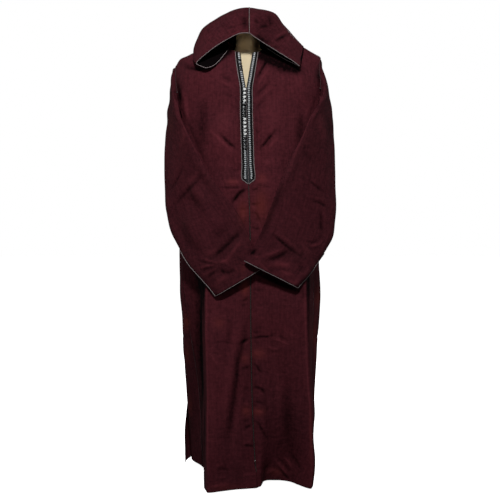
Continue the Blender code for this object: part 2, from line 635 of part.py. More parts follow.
def pipe(name, points, radius, finish, parts, cyclic=False):
    """A round trim along a line of points."""
    curve = bpy.data.curves.new(name, "CURVE")
    curve.dimensions = "3D"
    curve.bevel_depth = radius
    curve.bevel_resolution = 1
    curve.use_fill_caps = True
    spline = curve.splines.new("POLY")
    spline.points.add(len(points) - 1)
    for slot, point in zip(spline.points, points):
        slot.co = (*point, 1.0)
    spline.use_cyclic_u = cyclic
    return add_object(name, curve, finish, parts)


def make_fronts(parts):
    """The two front panels, from the hem to the shoulder seams."""
    for side, name in ((-1, "front_left"), (1, "front_right")):
        grid = [front_section(side, z) for z in body_levels()]
        grid += [upper_line(side, rise, -1) for rise in UPPER_RISES]
        wall(name, grid, "cloth", parts)


def make_back(parts):
    """The back panel in one piece, with the back neckline."""
    grid = []
    for z in body_levels():
        left = back_section(-1, z)
        right = back_section(1, z)
        grid.append(list(reversed(left)) + right[1:])
    for rise in UPPER_RISES:
        left = upper_line(-1, rise, 1)
        right = upper_line(1, rise, 1)
        grid.append(list(reversed(left)) + right[1:])
    wall("back", grid, "cloth", parts)


def make_gores(parts):
    """The side gores, from the armpit to the hem, their rear seam open near the hem."""
    for side, name in ((-1, "gore_left"), (1, "gore_right")):
        grid = [gore_section(side, z) for z in body_levels() if z <= ARMPIT_Z]
        wall(name, grid, "cloth", parts)


def armhole_loop(side):
    """The line round the armhole, just outside the edges of the panels, by quarters of the sleeve."""
    tip_z = shoulder_z(side * SHOULDER_HALF)
    upper = [YOKE_Z + (tip_z - YOKE_Z) * math.sin(rise * math.pi / 2) for rise in levels(1.0, 0.0, 10)]
    front = [upper_point(armhole_x(z, side), z, -1) for z in upper]
    front += [FRONT[side].point("seam", z, z) for z in levels(YOKE_Z, ARMPIT_Z, 4)[1:]]
    rear = [upper_point(armhole_x(z, side), z, 1) for z in upper]
    rear += [BACK[side].point("edge", z, z) for z in levels(YOKE_Z, ARMPIT_Z, 4)[1:]]
    pit = gore_section(side, ARMPIT_Z)
    loop = front + pit[1:-1] + list(reversed(rear))[:-1]
    moved = []
    for point in loop:
        low = min(1.0, max(0.0, (ARMPIT_Z + 0.03 - point.z) / 0.03))
        moved.append(point + Vector((side * (ARMHOLE_OUT + ARMPIT_OUT * low), 0.0, ARMPIT_UP * low)))
    corners = (moved[len(front) - 1], moved[len(front) + len(pit) - 2])
    return moved, corners


def body_outline(side, z):
    """Level outline of the body on one side, from the centre front round to the centre back."""
    if z <= ARMPIT_Z:
        return front_section(side, z) + gore_section(side, z) + list(reversed(back_section(side, z)))
    if z <= YOKE_Z:
        return front_section(side, z) + list(reversed(back_section(side, z)))
    edge = armhole_x(z, side)
    across = [edge * share for share in levels(0.3, 1.0, 8)]
    return [upper_point(x, z, -1) for x in across] + [upper_point(x, z, 1) for x in reversed(across)]


def clear_of_body(point, side, lift):
    """Move a point outwards, at its own height, until it stands at least the lift away from the body."""
    line = body_outline(side, min(point.z, shoulder_z(side * SHOULDER_HALF) - 0.001))
    place = Vector((point.x, point.y))
    nearest = None
    for a, b in zip(line, line[1:]):
        start, run = Vector((a.x, a.y)), Vector((b.x - a.x, b.y - a.y))
        share = min(1.0, max(0.0, (place - start).dot(run) / max(run.length_squared, 1e-12)))
        foot = start + run * share
        out = Vector((run.y, -run.x)).normalized() * side
        if nearest is None or (place - foot).length < nearest[0]:
            nearest = ((place - foot).length, foot, out)
    away, foot, out = nearest
    inside = (place - foot).dot(out) < 0
    if not inside and away >= lift:
        return point
    push = out if inside or away < 1e-6 else (place - foot).normalized()
    moved = foot + push * lift
    return Vector((moved.x, moved.y, point.z))


def sleeve_ring(side, ring):
    """One section of a sleeve: a tube pressed flat between its outer fold and the fold on the chest."""
    table = SLEEVE[side]
    outer, inner = table.point("outer", ring), table.point("inner", ring)
    across = inner - outer
    level = Vector((across.x, across.y, 0.0))
    width = level.length
    level.normalize()
    out = Vector((level.y, -level.x, 0.0))
    if out.y > 0:
        out.negate()

    hidden = []
    flat = min(1.0, max(0.0, ring - 5))
    for name in ("pit", "rear"):
        point = table.point(name, ring)
        share = (point - outer).dot(level) / width
        point.z += (outer.z + across.z * share - point.z) * flat
        hidden.append(point)
    inward = across.normalized() * FOLD_LONG
    swell = (outer + inner) / 2 + out * table.at("swell", ring)
    points = [outer, outer + inward + out * FOLD_HALF, swell, inner - inward + out * FOLD_HALF,
              inner, inner - inward - out * FOLD_HALF] + hidden + [outer + inward - out * FOLD_HALF]
    line = [clear_of_body(point, side, SLEEVE_CLEAR) for point in loop_through(points, SLEEVE_STEPS)]

    # the layer in front keeps its distance from the one behind it
    front_end = sum(SLEEVE_STEPS[:3])
    behind = [((point - outer).dot(level), (point - outer).dot(out)) for point in line[front_end + 2:]]
    for point in line[1:front_end + 1]:
        place = (point - outer).dot(level)
        height = highest_at(behind, place) + LAYER_GAP
        point += out * max(0.0, height - (point - outer).dot(out))
    return line


def highest_at(pairs, place):
    """Largest height, at a place, of a line given as pairs of place and height."""
    found = []
    for (a, low), (b, high) in zip(pairs, pairs[1:]):
        if min(a, b) <= place <= max(a, b) and abs(b - a) > 1e-9:
            found.append(low + (high - low) * (place - a) / (b - a))
    return max(found, default=-1.0)


def matched_loop(side, ring):
    """Share the armhole line out among the points of a sleeve ring, starting at the shoulder tip."""
    loop, corners = armhole_loop(side)
    count = len(ring)
    lengths = [(ring[(i + 1) % count] - ring[i]).length for i in range(count)]
    total = sum(lengths)
    closed = loop + [loop[0]]
    girth = sum((b - a).length for a, b in zip(closed, closed[1:]))
    made = []
    done = 0.0
    for length in lengths:
        made.append(along(closed, girth * done / total)[0])
        done += length
    for corner in corners:
        near = min(range(count), key=lambda i: (made[i] - corner).length)
        made[near] = corner.copy()
    return made


def sleeve_grid(side):
    """All sections of a sleeve, from the armhole to the cuff."""
    rings = levels(1, 10, 9 * RINGS_BETWEEN)
    grid = [sleeve_ring(side, ring) for ring in rings]
    return [matched_loop(side, grid[0])] + grid


def make_sleeves(parts):
    """The sleeves, tubes that open at the armhole and the cuff."""
    for side, name in ((-1, "sleeve_left"), (1, "sleeve_right")):
        wall(name, sleeve_grid(side), "cloth", parts, closed=True)


def hood_neck(side, arch):
    """Point of the hood's neck seam, just above the neckline of the panels."""
    turn = 0.55 + 0.45 * arch / 4 if arch <= 4 else 1 + (arch - 4) / 5
    x, z, face = neckline(turn, side)
    point = upper_point(x, z, face)
    depth = point.y / (CHEST_FRONT if face < 0 else CHEST_BACK)
    lean = Vector((0.0, depth, math.sqrt(max(0.0, 1 - depth * depth))))
    return point + lean * HOOD_NECK_LIFT


def over_shoulders(point, lift):
    """Move a point of the hood out until it clears the cloth over the chest and back."""
    reach = CHEST_FRONT if point.y < 0 else CHEST_BACK
    deep = chest_depth(point.x, reach) + lift
    low = shoulder_z(point.x) - SHOULDER_DROP
    up = max(0.0, point.z - low) / (SHOULDER_DROP + lift)
    spread = math.hypot(point.y / deep, up)
    if spread >= 1.0:
        return point
    return Vector((point.x, point.y / spread, low + max(0.0, point.z - low) / spread))


def hood_arch(side, arch):
    """Half an arch of the hood: from the seam on the crown, round the side fold, to the neck seam."""
    table = HOOD_SIDE[side]
    top = Vector((HOOD_SEAM_X * min(1.0, (9 - arch) / 3) + side * HOOD_SEAM_HALF,
                  HOOD_TOP.at("y", arch), HOOD_TOP.at("z", arch)))
    fold = table.point("side", arch)
    under = table.point("under", arch)
    wide, tall = table.at("wide", arch), table.at("tall", arch)
    line = []
    for turn in levels(0.0, math.pi / 2, HOOD_TOP_STEPS):
        out = math.sin(turn) ** (2 / wide)
        fall = 1 - math.cos(turn) ** (2 / tall)
        line.append(Vector((top.x + (fold.x - top.x) * out, top.y + (fold.y - top.y) * out ** 1.4,
                            top.z + (fold.z - top.z) * fall)))
    neck = hood_neck(side, arch)
    back = curve_through([line[-1], under, neck], (2, HOOD_UNDER_STEPS - 2))
    line = [over_shoulders(point, HOOD_OVER) for point in line + back[1:-1]]
    line.append(neck)
    if arch > 8.99:
        for point in line:
            point.x = side * HOOD_SEAM_HALF * 1.5
    return line


def make_hood(parts):
    """The two halves of the hood, from the brim over the crown to the point at the back."""
    for side, name in ((-1, "hood_left"), (1, "hood_right")):
        grid = [hood_arch(side, arch) for arch in levels(0, 9, HOOD_ARCHES)]
        wall(name, grid, "cloth", parts)


def form_half(z):
    """Half width of the form; over the shoulders it follows the ridge of the cloth."""
    if z < FORM_SHOULDER_Z:
        return FORM.at("half", z)
    low, high = 0.0, FORM.at("half", FORM_SHOULDER_Z)
    for _ in range(40):
        middle = (low + high) / 2
        if shoulder_z(-middle) - FORM_CLEAR > z:
            low = middle
        else:
            high = middle
    return max(high, FORM.at("half", z) if z > 1.41 else 0.0)


def form_ring(z):
    """Level section of the form, flatter at the front and back than an ellipse."""
    half = form_half(z)
    square = FORM_ROUND if z < 1.40 else 2.0
    over = FORM_SHOULDER_Z - 0.08 < z < 1.432
    ring = []
    for i in range(FORM_SIDES):
        turn = 2 * math.pi * i / FORM_SIDES
        across, deep = math.cos(turn), math.sin(turn)
        reach = FORM.at("back", z) if deep > 0 else FORM.at("front", z)
        x = half * math.copysign(abs(across) ** (2 / square), across)
        y = reach * math.copysign(abs(deep) ** (2 / square), deep)
        if over and abs(x) > FORM_NECK:
            inside = abs(upper_point(-abs(x), z + FORM_SINK, 1).y) - FORM_SINK / 2
            y = math.copysign(min(abs(y), max(inside, 0.0015)), y)
        ring.append(Vector((x, y, z)))
    return ring


def make_form(parts):
    """The bust, its neck cap, the pole and the base plate."""
    loft("form_torso", [form_ring(z) for z in FORM_LEVELS], "form", parts)

    seat = NECK_TOP_Z + LAID_GAP
    cap = [(0.0, CAP_TOP_Z)]
    for turn in levels(0.0, math.pi / 2, 5)[1:]:
        cap.append((CAP_RADIUS * math.sin(turn), CAP_TOP_Z - CAP_DOME * (1 - math.cos(turn))))
    cap += [(CAP_RADIUS, seat), (0.0, seat)]
    turned("form_neck_cap", cap, (0.0, 0.0), "wood", parts)

    pole_x, pole_y = BASE_CENTRE
    top = TORSO_FOOT_Z - LAID_GAP
    foot = BASE_THICK + LAID_GAP
    pole = [(0.0, top), (POLE_RADIUS - EDGE_ROUND, top), (POLE_RADIUS, top - EDGE_ROUND),
            (POLE_RADIUS, foot), (0.0, foot)]
    turned("form_pole", pole, (pole_x, pole_y), "steel", parts)

    plate = [(0.0, BASE_THICK), (BASE_RADIUS - EDGE_ROUND, BASE_THICK),
             (BASE_RADIUS, BASE_THICK - EDGE_ROUND), (BASE_RADIUS, 0.0), (0.0, 0.0)]
    turned("form_base", plate, (pole_x, pole_y), "steel", parts)


def turned(name, profile, centre, finish, parts):
    """A turned solid from a profile that runs down its outer side."""
    mesh = bpy.data.meshes.new(name)
    points = [(radius, 0.0, z) for radius, z in profile]
    mesh.from_pydata(points, [(i, i + 1) for i in range(len(points) - 1)], [])
    made = add_object(name, mesh, finish, parts)
    made.location = (*centre, 0.0)
    screw = made.modifiers.new("Turn", "SCREW")
    screw.steps = 24
    screw.render_steps = 24
    screw.use_merge_vertices = True
    screw.merge_threshold = 0.00005
    screw.use_smooth_shade = True
    return made


def panel_frame(side, z, distance):
    """Point of a front panel at a distance from its centre edge, its direction across and its normal."""
    line = front_line(side, z)
    point, across = along(line, distance)
    above, _ = along(front_line(side, z + 0.002), distance)
    below, _ = along(front_line(side, z - 0.002), distance)
    normal = across.cross(above - below).normalized() * side
    return point, across, normal


def outward(side, z, distance, lift):
    """A point above the outer face of a front panel."""
    point, _, normal = panel_frame(side, z, distance)
    if normal.y > 0:
        normal.negate()
    return point + normal * lift


def strip(name, side, rows, lift, thick, finish, parts):
    """A flat trim on a front panel; each row gives the height and the distance of both edges."""
    rings = []
    for (near_z, near), (far_z, far) in rows:
        rings.append([outward(side, near_z, near, lift), outward(side, far_z, far, lift),
                      outward(side, far_z, far, lift + thick), outward(side, near_z, near, lift + thick)])
    return loft(name, rings, finish, parts, smooth=False)


def make_placket(parts):
    """Braid, black band and piping on both edges of the slit, the strip behind it, and the knots."""
    seat = CLOTH / 2 + LAID_GAP + LAID_SLACK
    top = V_TOP_Z - PLACKET_TOP_DROP
    heights = [z for z in panel_edge_heights() if SLIT_FOOT_Z + PLACKET_STRAIGHT < z < top + CLOTH / 2]
    heights.append(top)
    layout = (("braid", BRAID_WIDE, BRAID_THICK, "braid"), ("band", BAND_WIDE, BAND_THICK, "black"),
              ("piping", PIPE_WIDE, PIPE_THICK, "piping"))
    for side, word in ((-1, "left"), (1, "right")):
        start = LAID_GAP
        for kind, wide, thick, finish in layout:
            far = start + wide
            rows = [((z, start), (z, far)) for z in heights]
            low = SLIT_FOOT_Z + (PIPE_FOOT if kind == "piping" else BRAID_FOOT)
            corner = ((low + start, start), (low + far, far))
            tip = tuple((SLIT_FOOT_Z + above, away) for above, away in PIPE_TIP)
            foot = [tip, corner] if kind == "piping" else [corner]
            strip(f"placket_{kind}_{word}", side, foot + rows, seat, thick, finish, parts)
            start = far + TRIM_GAP

    rings = []
    for z in [SLIT_FOOT_Z + UNDERLAY_FOOT] + [z for z in heights if z <= V_FOOT_Z + CLOTH / 2]:
        left = panel_frame(-1, z, UNDERLAY_REACH)[0]
        right = panel_frame(1, z, UNDERLAY_REACH)[0]
        deep = seat + UNDERLAY_THICK
        rings.append([point + Vector((0.0, depth, 0.0))
                      for point, depth in ((left, seat), (right, seat), (right, deep), (left, deep))])
    loft("placket_underlay", rings, "underlay", parts, smooth=False)

    count = 0
    z = KNOT_TOP_Z
    rise = seat + BRAID_THICK + LAID_GAP + LAID_SLACK + KNOT_DEEP / 2
    for finish, number in KNOT_RUNS:
        for _ in range(number):
            count += 1
            knot(count, z, rise, finish, parts)
            z -= KNOT_PITCH
    for i in range(V_KNOTS):
        count += 1
        knot(count, V_KNOT_TOP_Z - i * V_KNOT_PITCH, rise, "black", parts)


def knot(number, z, rise, finish, parts):
    """A tied knot button: a small barrel lying across the edge of the slit."""
    _, across, normal = panel_frame(-1, z, KNOT_INSET)
    if normal.y > 0:
        normal.negate()
    up = normal.cross(across)
    centre = outward(-1, z, KNOT_INSET, rise)
    rings = []
    for share, size in KNOT_BARREL:
        ring = []
        for i in range(KNOT_SIDES):
            turn = 2 * math.pi * i / KNOT_SIDES
            out = normal * (math.cos(turn) * KNOT_DEEP) + up * (math.sin(turn) * KNOT_TALL)
            ring.append(centre + across * (share * KNOT_LONG / 2) + out * (size / 2))
        rings.append(ring)
    loft(f"knot_{number:02d}", rings, finish, parts)


def make_seam_trims(parts):
    """Braids over the seams and pipings along the edges."""
    lift = CLOTH / 2 + LAID_GAP
    rings = []
    top = SLIT_FOOT_Z - PLACKET_TOP_DROP
    for z in [SEAM_BRAID_FOOT_Z] + [z for z in body_levels() if SEAM_BRAID_FOOT_Z < z < top] + [top]:
        left = front_line(-1, z)[0]
        right = front_line(1, z)[0]
        middle = (left + right) / 2
        half = Vector((SEAM_BRAID_HALF, 0.0, 0.0))
        low = Vector((0.0, -lift - SEAM_BRAID_LOW, 0.0))
        high = Vector((0.0, -lift - SEAM_BRAID_HIGH, 0.0))
        rings.append([middle - half + low, middle + half + low, middle + half + high, middle - half + high])
    loft("front_seam_braid", rings, "piping", parts, smooth=False)

    for side, word in ((-1, "left"), (1, "right")):
        rings = []
        for z in [SIDE_TRIM_FOOT_Z] + [z for z in body_levels() if SIDE_TRIM_FOOT_Z < z < SIDE_TRIM_TOP_Z]:
            front = front_section(side, z)
            gore = gore_section(side, z)
            middle = (front[-1] + gore[0]) / 2
            run = (gore[1] - front[-2]).normalized()
            out = run.cross(Vector((0.0, 0.0, 1.0))).normalized()
            if out.x * side < 0:
                out.negate()
            rings.append([middle + run * w + out * h for w, h in
                          ((-SIDE_TRIM_HALF, lift + SIDE_TRIM_LOW), (SIDE_TRIM_HALF, lift + SIDE_TRIM_LOW),
                           (SIDE_TRIM_HALF, lift + SIDE_TRIM_HIGH),
                           (-SIDE_TRIM_HALF, lift + SIDE_TRIM_HIGH))])
        loft(f"side_seam_trim_{word}", rings, "piping", parts, smooth=False)

        line = []
        for rise in levels(*ARM_TRIM_RISES):
            edge = upper_line(side, rise, -1)
            point, inward = along(list(reversed(edge)), ARM_TRIM_INSET)
            near = upper_line(side, rise + RISE_STEP, -1)
            other, _ = along(list(reversed(near)), ARM_TRIM_INSET)
            normal = inward.cross(other - point).normalized()
            if normal.y > 0:
                normal.negate()
            line.append(point + normal * (lift + ARM_TRIM_LIFT))
        pipe(f"armhole_trim_{word}", line, ARM_TRIM_RADIUS, "piping", parts)

        grid = sleeve_grid(side)
        cuff = [a + (a - b).normalized() * (EDGE_PIPE + CUFF_PIPE_GAP) for a, b in zip(grid[-1], grid[-2])]
        pipe(f"cuff_piping_{word}", cuff, EDGE_PIPE, "piping", parts, cyclic=True)

        seam = []
        for around in grid[-4:]:
            middle = sum(around, Vector()) / len(around)
            out = (around[0] - middle).normalized()
            seam.append(around[0] + out * (lift + SLEEVE_PIPE_LIFT))
        pipe(f"sleeve_seam_piping_{word}", seam, SLEEVE_PIPE_RADIUS, "piping", parts)

        rim = hood_arch(side, 0)
        behind = hood_arch(side, 9 / HOOD_ARCHES)
        brim = []
        for i, edge in enumerate(rim):
            near = range(max(i - 2, 0), min(i + 3, len(rim)))
            out = sum(((rim[k] - behind[k]).normalized() for k in near), Vector()).normalized()
            brim.append(edge + out * (EDGE_PIPE + BRIM_PIPE_GAP))
        brim[0] += Vector((side * EDGE_PIPE, 0.0, 0.0))
        brim[-1] = brim[-2] * 0.5 + brim[-1] * 0.5
        pipe(f"hood_piping_{word}", brim, EDGE_PIPE, "piping", parts)

    rings = []
    for arch in levels(*HOOD_BRAID_ARCHES):
        left, right = hood_arch(-1, arch), hood_arch(1, arch)
        middle = (left[0] + right[0]) / 2
        later = (hood_arch(-1, arch + ARCH_STEP)[0] + hood_arch(1, arch + ARCH_STEP)[0]) / 2
        out = Vector((1.0, 0.0, 0.0)).cross(later - middle).normalized()
        if arch < 5 and out.z < 0 or arch >= 5 and out.y < 0:
            out.negate()
        half = Vector((HOOD_BRAID_HALF, 0.0, 0.0))
        rings.append([middle + half * w + out * (lift + h) for w, h in
                      ((-1, HOOD_BRAID_LOW), (1, HOOD_BRAID_LOW),
                       (1, HOOD_BRAID_HIGH), (-1, HOOD_BRAID_HIGH))])
    loft("hood_seam_braid", rings, "braid", parts, smooth=False)


def main():
    """Clear the scene and build every piece."""
    for old in list(bpy.data.objects):
        bpy.data.objects.remove(old)
    parts = bpy.data.collections.new("djellaba_on_form")
    bpy.context.scene.collection.children.link(parts)
    make_form(parts)
    make_fronts(parts)
    make_back(parts)
    make_gores(parts)
    make_sleeves(parts)
    make_hood(parts)
    make_placket(parts)
    make_seam_trims(parts)


main()
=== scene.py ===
# %% [markdown]
# # A hooded djellaba on a limbless dress form
# A djellaba is a long, loose robe of North Africa, with wide sleeves and a pointed hood. This one
# hangs on a dress form, with its sleeves folded across the front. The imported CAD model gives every
# panel its place and its main folds. This lesson reads those panels back, refines them to the
# fineness of cloth, and sews the trims on.

# %% The fixed frame
import math

import bmesh
import bpy
import numpy as np
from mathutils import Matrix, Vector, noise


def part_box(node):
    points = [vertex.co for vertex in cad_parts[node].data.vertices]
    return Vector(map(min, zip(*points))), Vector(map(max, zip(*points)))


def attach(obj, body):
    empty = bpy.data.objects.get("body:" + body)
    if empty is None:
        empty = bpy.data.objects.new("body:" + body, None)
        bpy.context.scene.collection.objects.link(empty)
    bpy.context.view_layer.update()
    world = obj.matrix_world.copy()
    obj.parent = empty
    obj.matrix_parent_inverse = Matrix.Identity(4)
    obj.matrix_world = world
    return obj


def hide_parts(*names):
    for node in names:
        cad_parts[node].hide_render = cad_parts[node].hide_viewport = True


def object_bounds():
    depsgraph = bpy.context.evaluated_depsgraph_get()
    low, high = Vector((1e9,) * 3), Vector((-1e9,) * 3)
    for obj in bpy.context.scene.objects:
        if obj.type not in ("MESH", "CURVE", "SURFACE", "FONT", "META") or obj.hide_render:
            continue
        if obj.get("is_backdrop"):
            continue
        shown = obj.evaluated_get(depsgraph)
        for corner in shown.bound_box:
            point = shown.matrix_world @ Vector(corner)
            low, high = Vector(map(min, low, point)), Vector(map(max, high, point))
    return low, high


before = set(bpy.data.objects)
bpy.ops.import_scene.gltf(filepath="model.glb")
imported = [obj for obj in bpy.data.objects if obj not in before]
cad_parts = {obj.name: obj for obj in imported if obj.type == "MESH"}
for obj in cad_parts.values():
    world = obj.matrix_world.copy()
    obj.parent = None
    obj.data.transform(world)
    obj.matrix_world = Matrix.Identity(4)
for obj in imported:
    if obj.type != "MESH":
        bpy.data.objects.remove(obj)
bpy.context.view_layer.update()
print("solids in the frame:", len(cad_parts))

# %% [markdown]
# ## Camera and light
# The robe was photographed from the height of its chest, from a little over three metres away, by a
# lens with a narrow view. One lamp stands in front and above, so the brim of the hood throws its
# shadow on the neck of the form. Three broad lamps behind light the back and the sides, and the pale
# room around it gives the rest.

# %% Camera
CAMERA_PLACE = (0.0, -3.35, 1.006)
CAMERA_DIP_DEGREES = 4.25
CAMERA_LENS = 74.2
SENSOR_WIDTH = 36.0
CAMERA_SHIFT = 0.004


def placed(name, data):
    """A new object in the scene, at the origin."""
    made = bpy.data.objects.new(name, data)
    bpy.context.scene.collection.objects.link(made)
    return made


camera_data = bpy.data.cameras.new("camera")
camera_data.lens = CAMERA_LENS
camera_data.sensor_width = SENSOR_WIDTH
camera_data.shift_x = CAMERA_SHIFT
camera = placed("camera", camera_data)
camera.location = CAMERA_PLACE
camera.rotation_euler = (math.radians(90.0 - CAMERA_DIP_DEGREES), 0.0, 0.0)
bpy.context.scene.camera = camera
print("camera at", CAMERA_PLACE, "with a lens of", CAMERA_LENS, "mm")

# %% Lamps
bpy.context.scene.view_settings.view_transform = "Standard"


def lamp(name, place, aim, size, watts):
    """A square soft lamp that looks at a point."""
    data = bpy.data.lights.new(name, "AREA")
    data.size = size
    data.energy = watts
    made = placed(name, data)
    made.location = place
    made.rotation_euler = (Vector(aim) - Vector(place)).to_track_quat("-Z", "Y").to_euler()
    return made


lamp("key_lamp", (-0.06, -2.05, 2.48), (0.0, 0.0, 1.1), 0.22, 56.0)
lamp("back_lamp", (0.5, 2.7, 2.3), (0.0, 0.0, 1.0), 1.0, 62.0)
lamp("left_rear_lamp", (-2.7, 1.5, 1.9), (0.0, 0.0, 0.9), 1.2, 17.0)
lamp("right_rear_lamp", (2.7, 1.5, 1.9), (0.0, 0.0, 0.9), 1.2, 17.0)

# light that the chest throws back up under the hood, onto the neck of the form
neck_glow = lamp("neck_glow", (-0.012, -0.20, 1.385), (-0.010, -0.03, 1.445), 0.03, 0.0044)
neck_glow.data.color = (1.0, 0.70, 0.44)
neck_glow.data.spread = math.radians(70)
neck_glow.visible_camera = False
print("lamps:", [data.name for data in bpy.data.lights])

# %% [markdown]
# ## Materials
# Each finish is made from nodes and from sizes in metres. Cloth has its own flat coordinates, the
# ones that it was cut in, so that the threads follow every fold.

# %% Helpers for materials


def linear(code):
    """Linear colour of an sRGB hex code."""
    channels = [int(code[i:i + 2], 16) / 255.0 for i in (1, 3, 5)]
    return tuple(c / 12.92 if c <= 0.04045 else ((c + 0.055) / 1.055) ** 2.4 for c in channels) + (1.0,)


def give(tree, node, inputs):
    """Sets the inputs of a node: each takes a value, a socket or another node's first output."""
    for key, value in inputs.items():
        if isinstance(value, bpy.types.Node):
            value = value.outputs[0]
        if isinstance(value, bpy.types.NodeSocket):
            tree.links.new(value, node.inputs[key])
        else:
            node.inputs[key].default_value = value


def add(tree, kind, inputs=None, **settings):
    """Adds a node with its settings and inputs."""
    made = tree.nodes.new(kind)
    for name, value in settings.items():
        setattr(made, name, value)
    give(tree, made, inputs or {})
    return made


def finish_of(name):
    """A new material with an empty node tree, and its surface shader."""
    made = bpy.data.materials.new(name)
    made.use_nodes = True
    tree = made.node_tree
    tree.nodes.clear()
    shader = add(tree, "ShaderNodeBsdfPrincipled")
    add(tree, "ShaderNodeOutputMaterial", {"Surface": shader})
    return made, tree, shader


# %% [markdown]
# ### The room
# The room gives a weak light from everywhere, but the camera sees it as plain white paper. The same
# background colour serves both, with a strength that depends on what kind of ray asks.

# %% The pale room
ROOM_LIGHT = 0.15

world = bpy.data.worlds.new("pale_room")
bpy.context.scene.world = world
world.use_nodes = True
tree = world.node_tree
tree.nodes.clear()
ray = add(tree, "ShaderNodeLightPath")
strength = add(tree, "ShaderNodeMapRange",
               {"Value": ray.outputs["Is Camera Ray"], "To Min": ROOM_LIGHT, "To Max": 1.0})
room = add(tree, "ShaderNodeBackground", {"Color": (1.0, 1.0, 1.0, 1.0), "Strength": strength})
add(tree, "ShaderNodeOutputWorld", {"Surface": room})
print("light of the room:", ROOM_LIGHT)

# %% [markdown]
# ### Burgundy wool blend
# The robe is a fine, plain wool and polyester cloth, dyed a deep burgundy. Its threads are about
# half a millimetre apart, too fine to show from three metres, so they are drawn twice as coarse. The
# dye is slightly uneven, and warmer where the cloth has rubbed. Two attributes of each mesh colour
# it: one is painted light and shade, from DEEPEST, a painted shade almost black in a hollow or a
# shadow, to 1, a painted highlight on a crest; the other, "rust", is where the cloth has rubbed warm.

# %% The cloth
THREAD = 0.0011
SLUB_WIDE = 3 * THREAD
SLUB_LONG = 0.030
STREAK_WIDE = 0.007
STREAK_LONG = 0.090
DYE_PATCH = 0.16
# worn wool is mottled in spots of a centimetre, and crumpled in shallow dents of twice that size
MOTTLE = 0.010
CRUMPLE = 0.024
CRUMPLE_DEEP = 0.0034
DEEPEST = -1.25


def bands(size):
    """The scale at which a wave texture, which draws sin(20 x), has its bands this far apart."""
    return 2 * math.pi / 20 / size


def woven_cloth(name, deep, warm, pale_and_highlight, dark_and_shade, rust, handled=1.0):
    """A fine woven cloth in close shades: a pale one for slubs and painted highlights, a dark one for
    streaks and painted shade, and one where it is rubbed rusty.

    How much it is streaked, mottled and crumpled is in handled: 1 for worn wool, little for jersey.
    """
    made, tree, shader = finish_of(name)
    flat = add(tree, "ShaderNodeUVMap", uv_map="flat")

    def drawn_out(wide, long, detail=2.0):
        """Noise that is this wide across the cloth and this long down it."""
        place = add(tree, "ShaderNodeMapping", {"Vector": flat, "Scale": (1 / wide, 1 / long, 1.0)})
        return add(tree, "ShaderNodeTexNoise", {"Vector": place, "Scale": 1.0, "Detail": detail})

    place = add(tree, "ShaderNodeTexCoord").outputs["Object"]
    patches = add(tree, "ShaderNodeTexNoise",
                  {"Vector": place, "Scale": 1 / DYE_PATCH, "Detail": 3.0, "Roughness": 0.55})
    spread = add(tree, "ShaderNodeMapRange", {"Value": patches, "From Min": 0.38, "From Max": 0.64})
    base = add(tree, "ShaderNodeMix", {"Factor": spread, 6: linear(deep), 7: linear(warm)},
               data_type="RGBA")
    slubs = drawn_out(SLUB_WIDE, SLUB_LONG)
    picks = drawn_out(SLUB_LONG, SLUB_WIDE)
    threads = add(tree, "ShaderNodeMath", {0: slubs, 1: picks}, operation="ADD")
    faded = add(tree, "ShaderNodeMapRange",
                {"Value": threads, "From Min": 0.75, "From Max": 1.25, "To Max": 0.30})
    streaks = drawn_out(STREAK_WIDE, STREAK_LONG, 3.0)
    streaky = add(tree, "ShaderNodeMapRange",
                  {"Value": streaks, "From Min": 0.40, "From Max": 0.75, "To Max": 0.26 * handled})
    mottle = add(tree, "ShaderNodeTexNoise",
                 {"Vector": place, "Scale": 1 / MOTTLE, "Detail": 4.0, "Roughness": 0.65})
    uneven = add(tree, "ShaderNodeMath", {0: mottle, 1: 1.5 * handled, 2: -0.75 * handled},
                 operation="MULTIPLY_ADD")
    painted = add(tree, "ShaderNodeAttribute", attribute_name="wear")
    wear = add(tree, "ShaderNodeMath", {0: painted.outputs["Fac"], 1: uneven}, operation="ADD")
    # painted highlight towards the pale shade on crests, painted shade towards the dark one in hollows and
    # shadows
    painted_highlight = add(tree, "ShaderNodeMapRange", {"Value": wear, "To Max": 0.80})
    low = add(tree, "ShaderNodeMapRange", {"Value": wear, "From Max": DEEPEST})
    rubbed = add(tree, "ShaderNodeAttribute", attribute_name="rust")
    rusty = add(tree, "ShaderNodeMapRange", {"Value": rubbed.outputs["Fac"], "To Max": 0.42})
    colour = base
    for share, shade in ((faded, pale_and_highlight), (streaky, dark_and_shade), (painted_highlight, pale_and_highlight), (low, dark_and_shade), (rusty, rust)):
        colour = add(tree, "ShaderNodeMix", {"Factor": share, 6: colour.outputs[2], 7: linear(shade)},
                     data_type="RGBA")
    warp, weft = (add(tree, "ShaderNodeTexWave", {"Vector": flat, "Scale": bands(THREAD), "Distortion": 1.2,
                                                  "Detail": 1.0}, bands_direction=way) for way in "XY")
    weave = add(tree, "ShaderNodeMath", {0: warp.outputs["Fac"], 1: weft.outputs["Fac"]},
                operation="MULTIPLY")
    relief = add(tree, "ShaderNodeMath", {0: threads, 1: weave}, operation="ADD")
    creased = add(tree, "ShaderNodeTexNoise",
                  {"Vector": place, "Scale": 1 / CRUMPLE, "Detail": 3.0, "Distortion": 0.6})
    crumpled = add(tree, "ShaderNodeBump", {"Height": creased, "Distance": CRUMPLE_DEEP * handled})
    bump = add(tree, "ShaderNodeBump",
               {"Height": relief, "Strength": 0.35, "Distance": 0.0004, "Normal": crumpled})
    rough = add(tree, "ShaderNodeMapRange", {"Value": threads, "From Min": 0.7, "From Max": 1.3,
                                             "To Min": 0.82, "To Max": 0.95})
    give(tree, shader, {"Base Color": colour.outputs[2], "Normal": bump, "Roughness": rough,
                        "Specular IOR Level": 0.03})
    return made


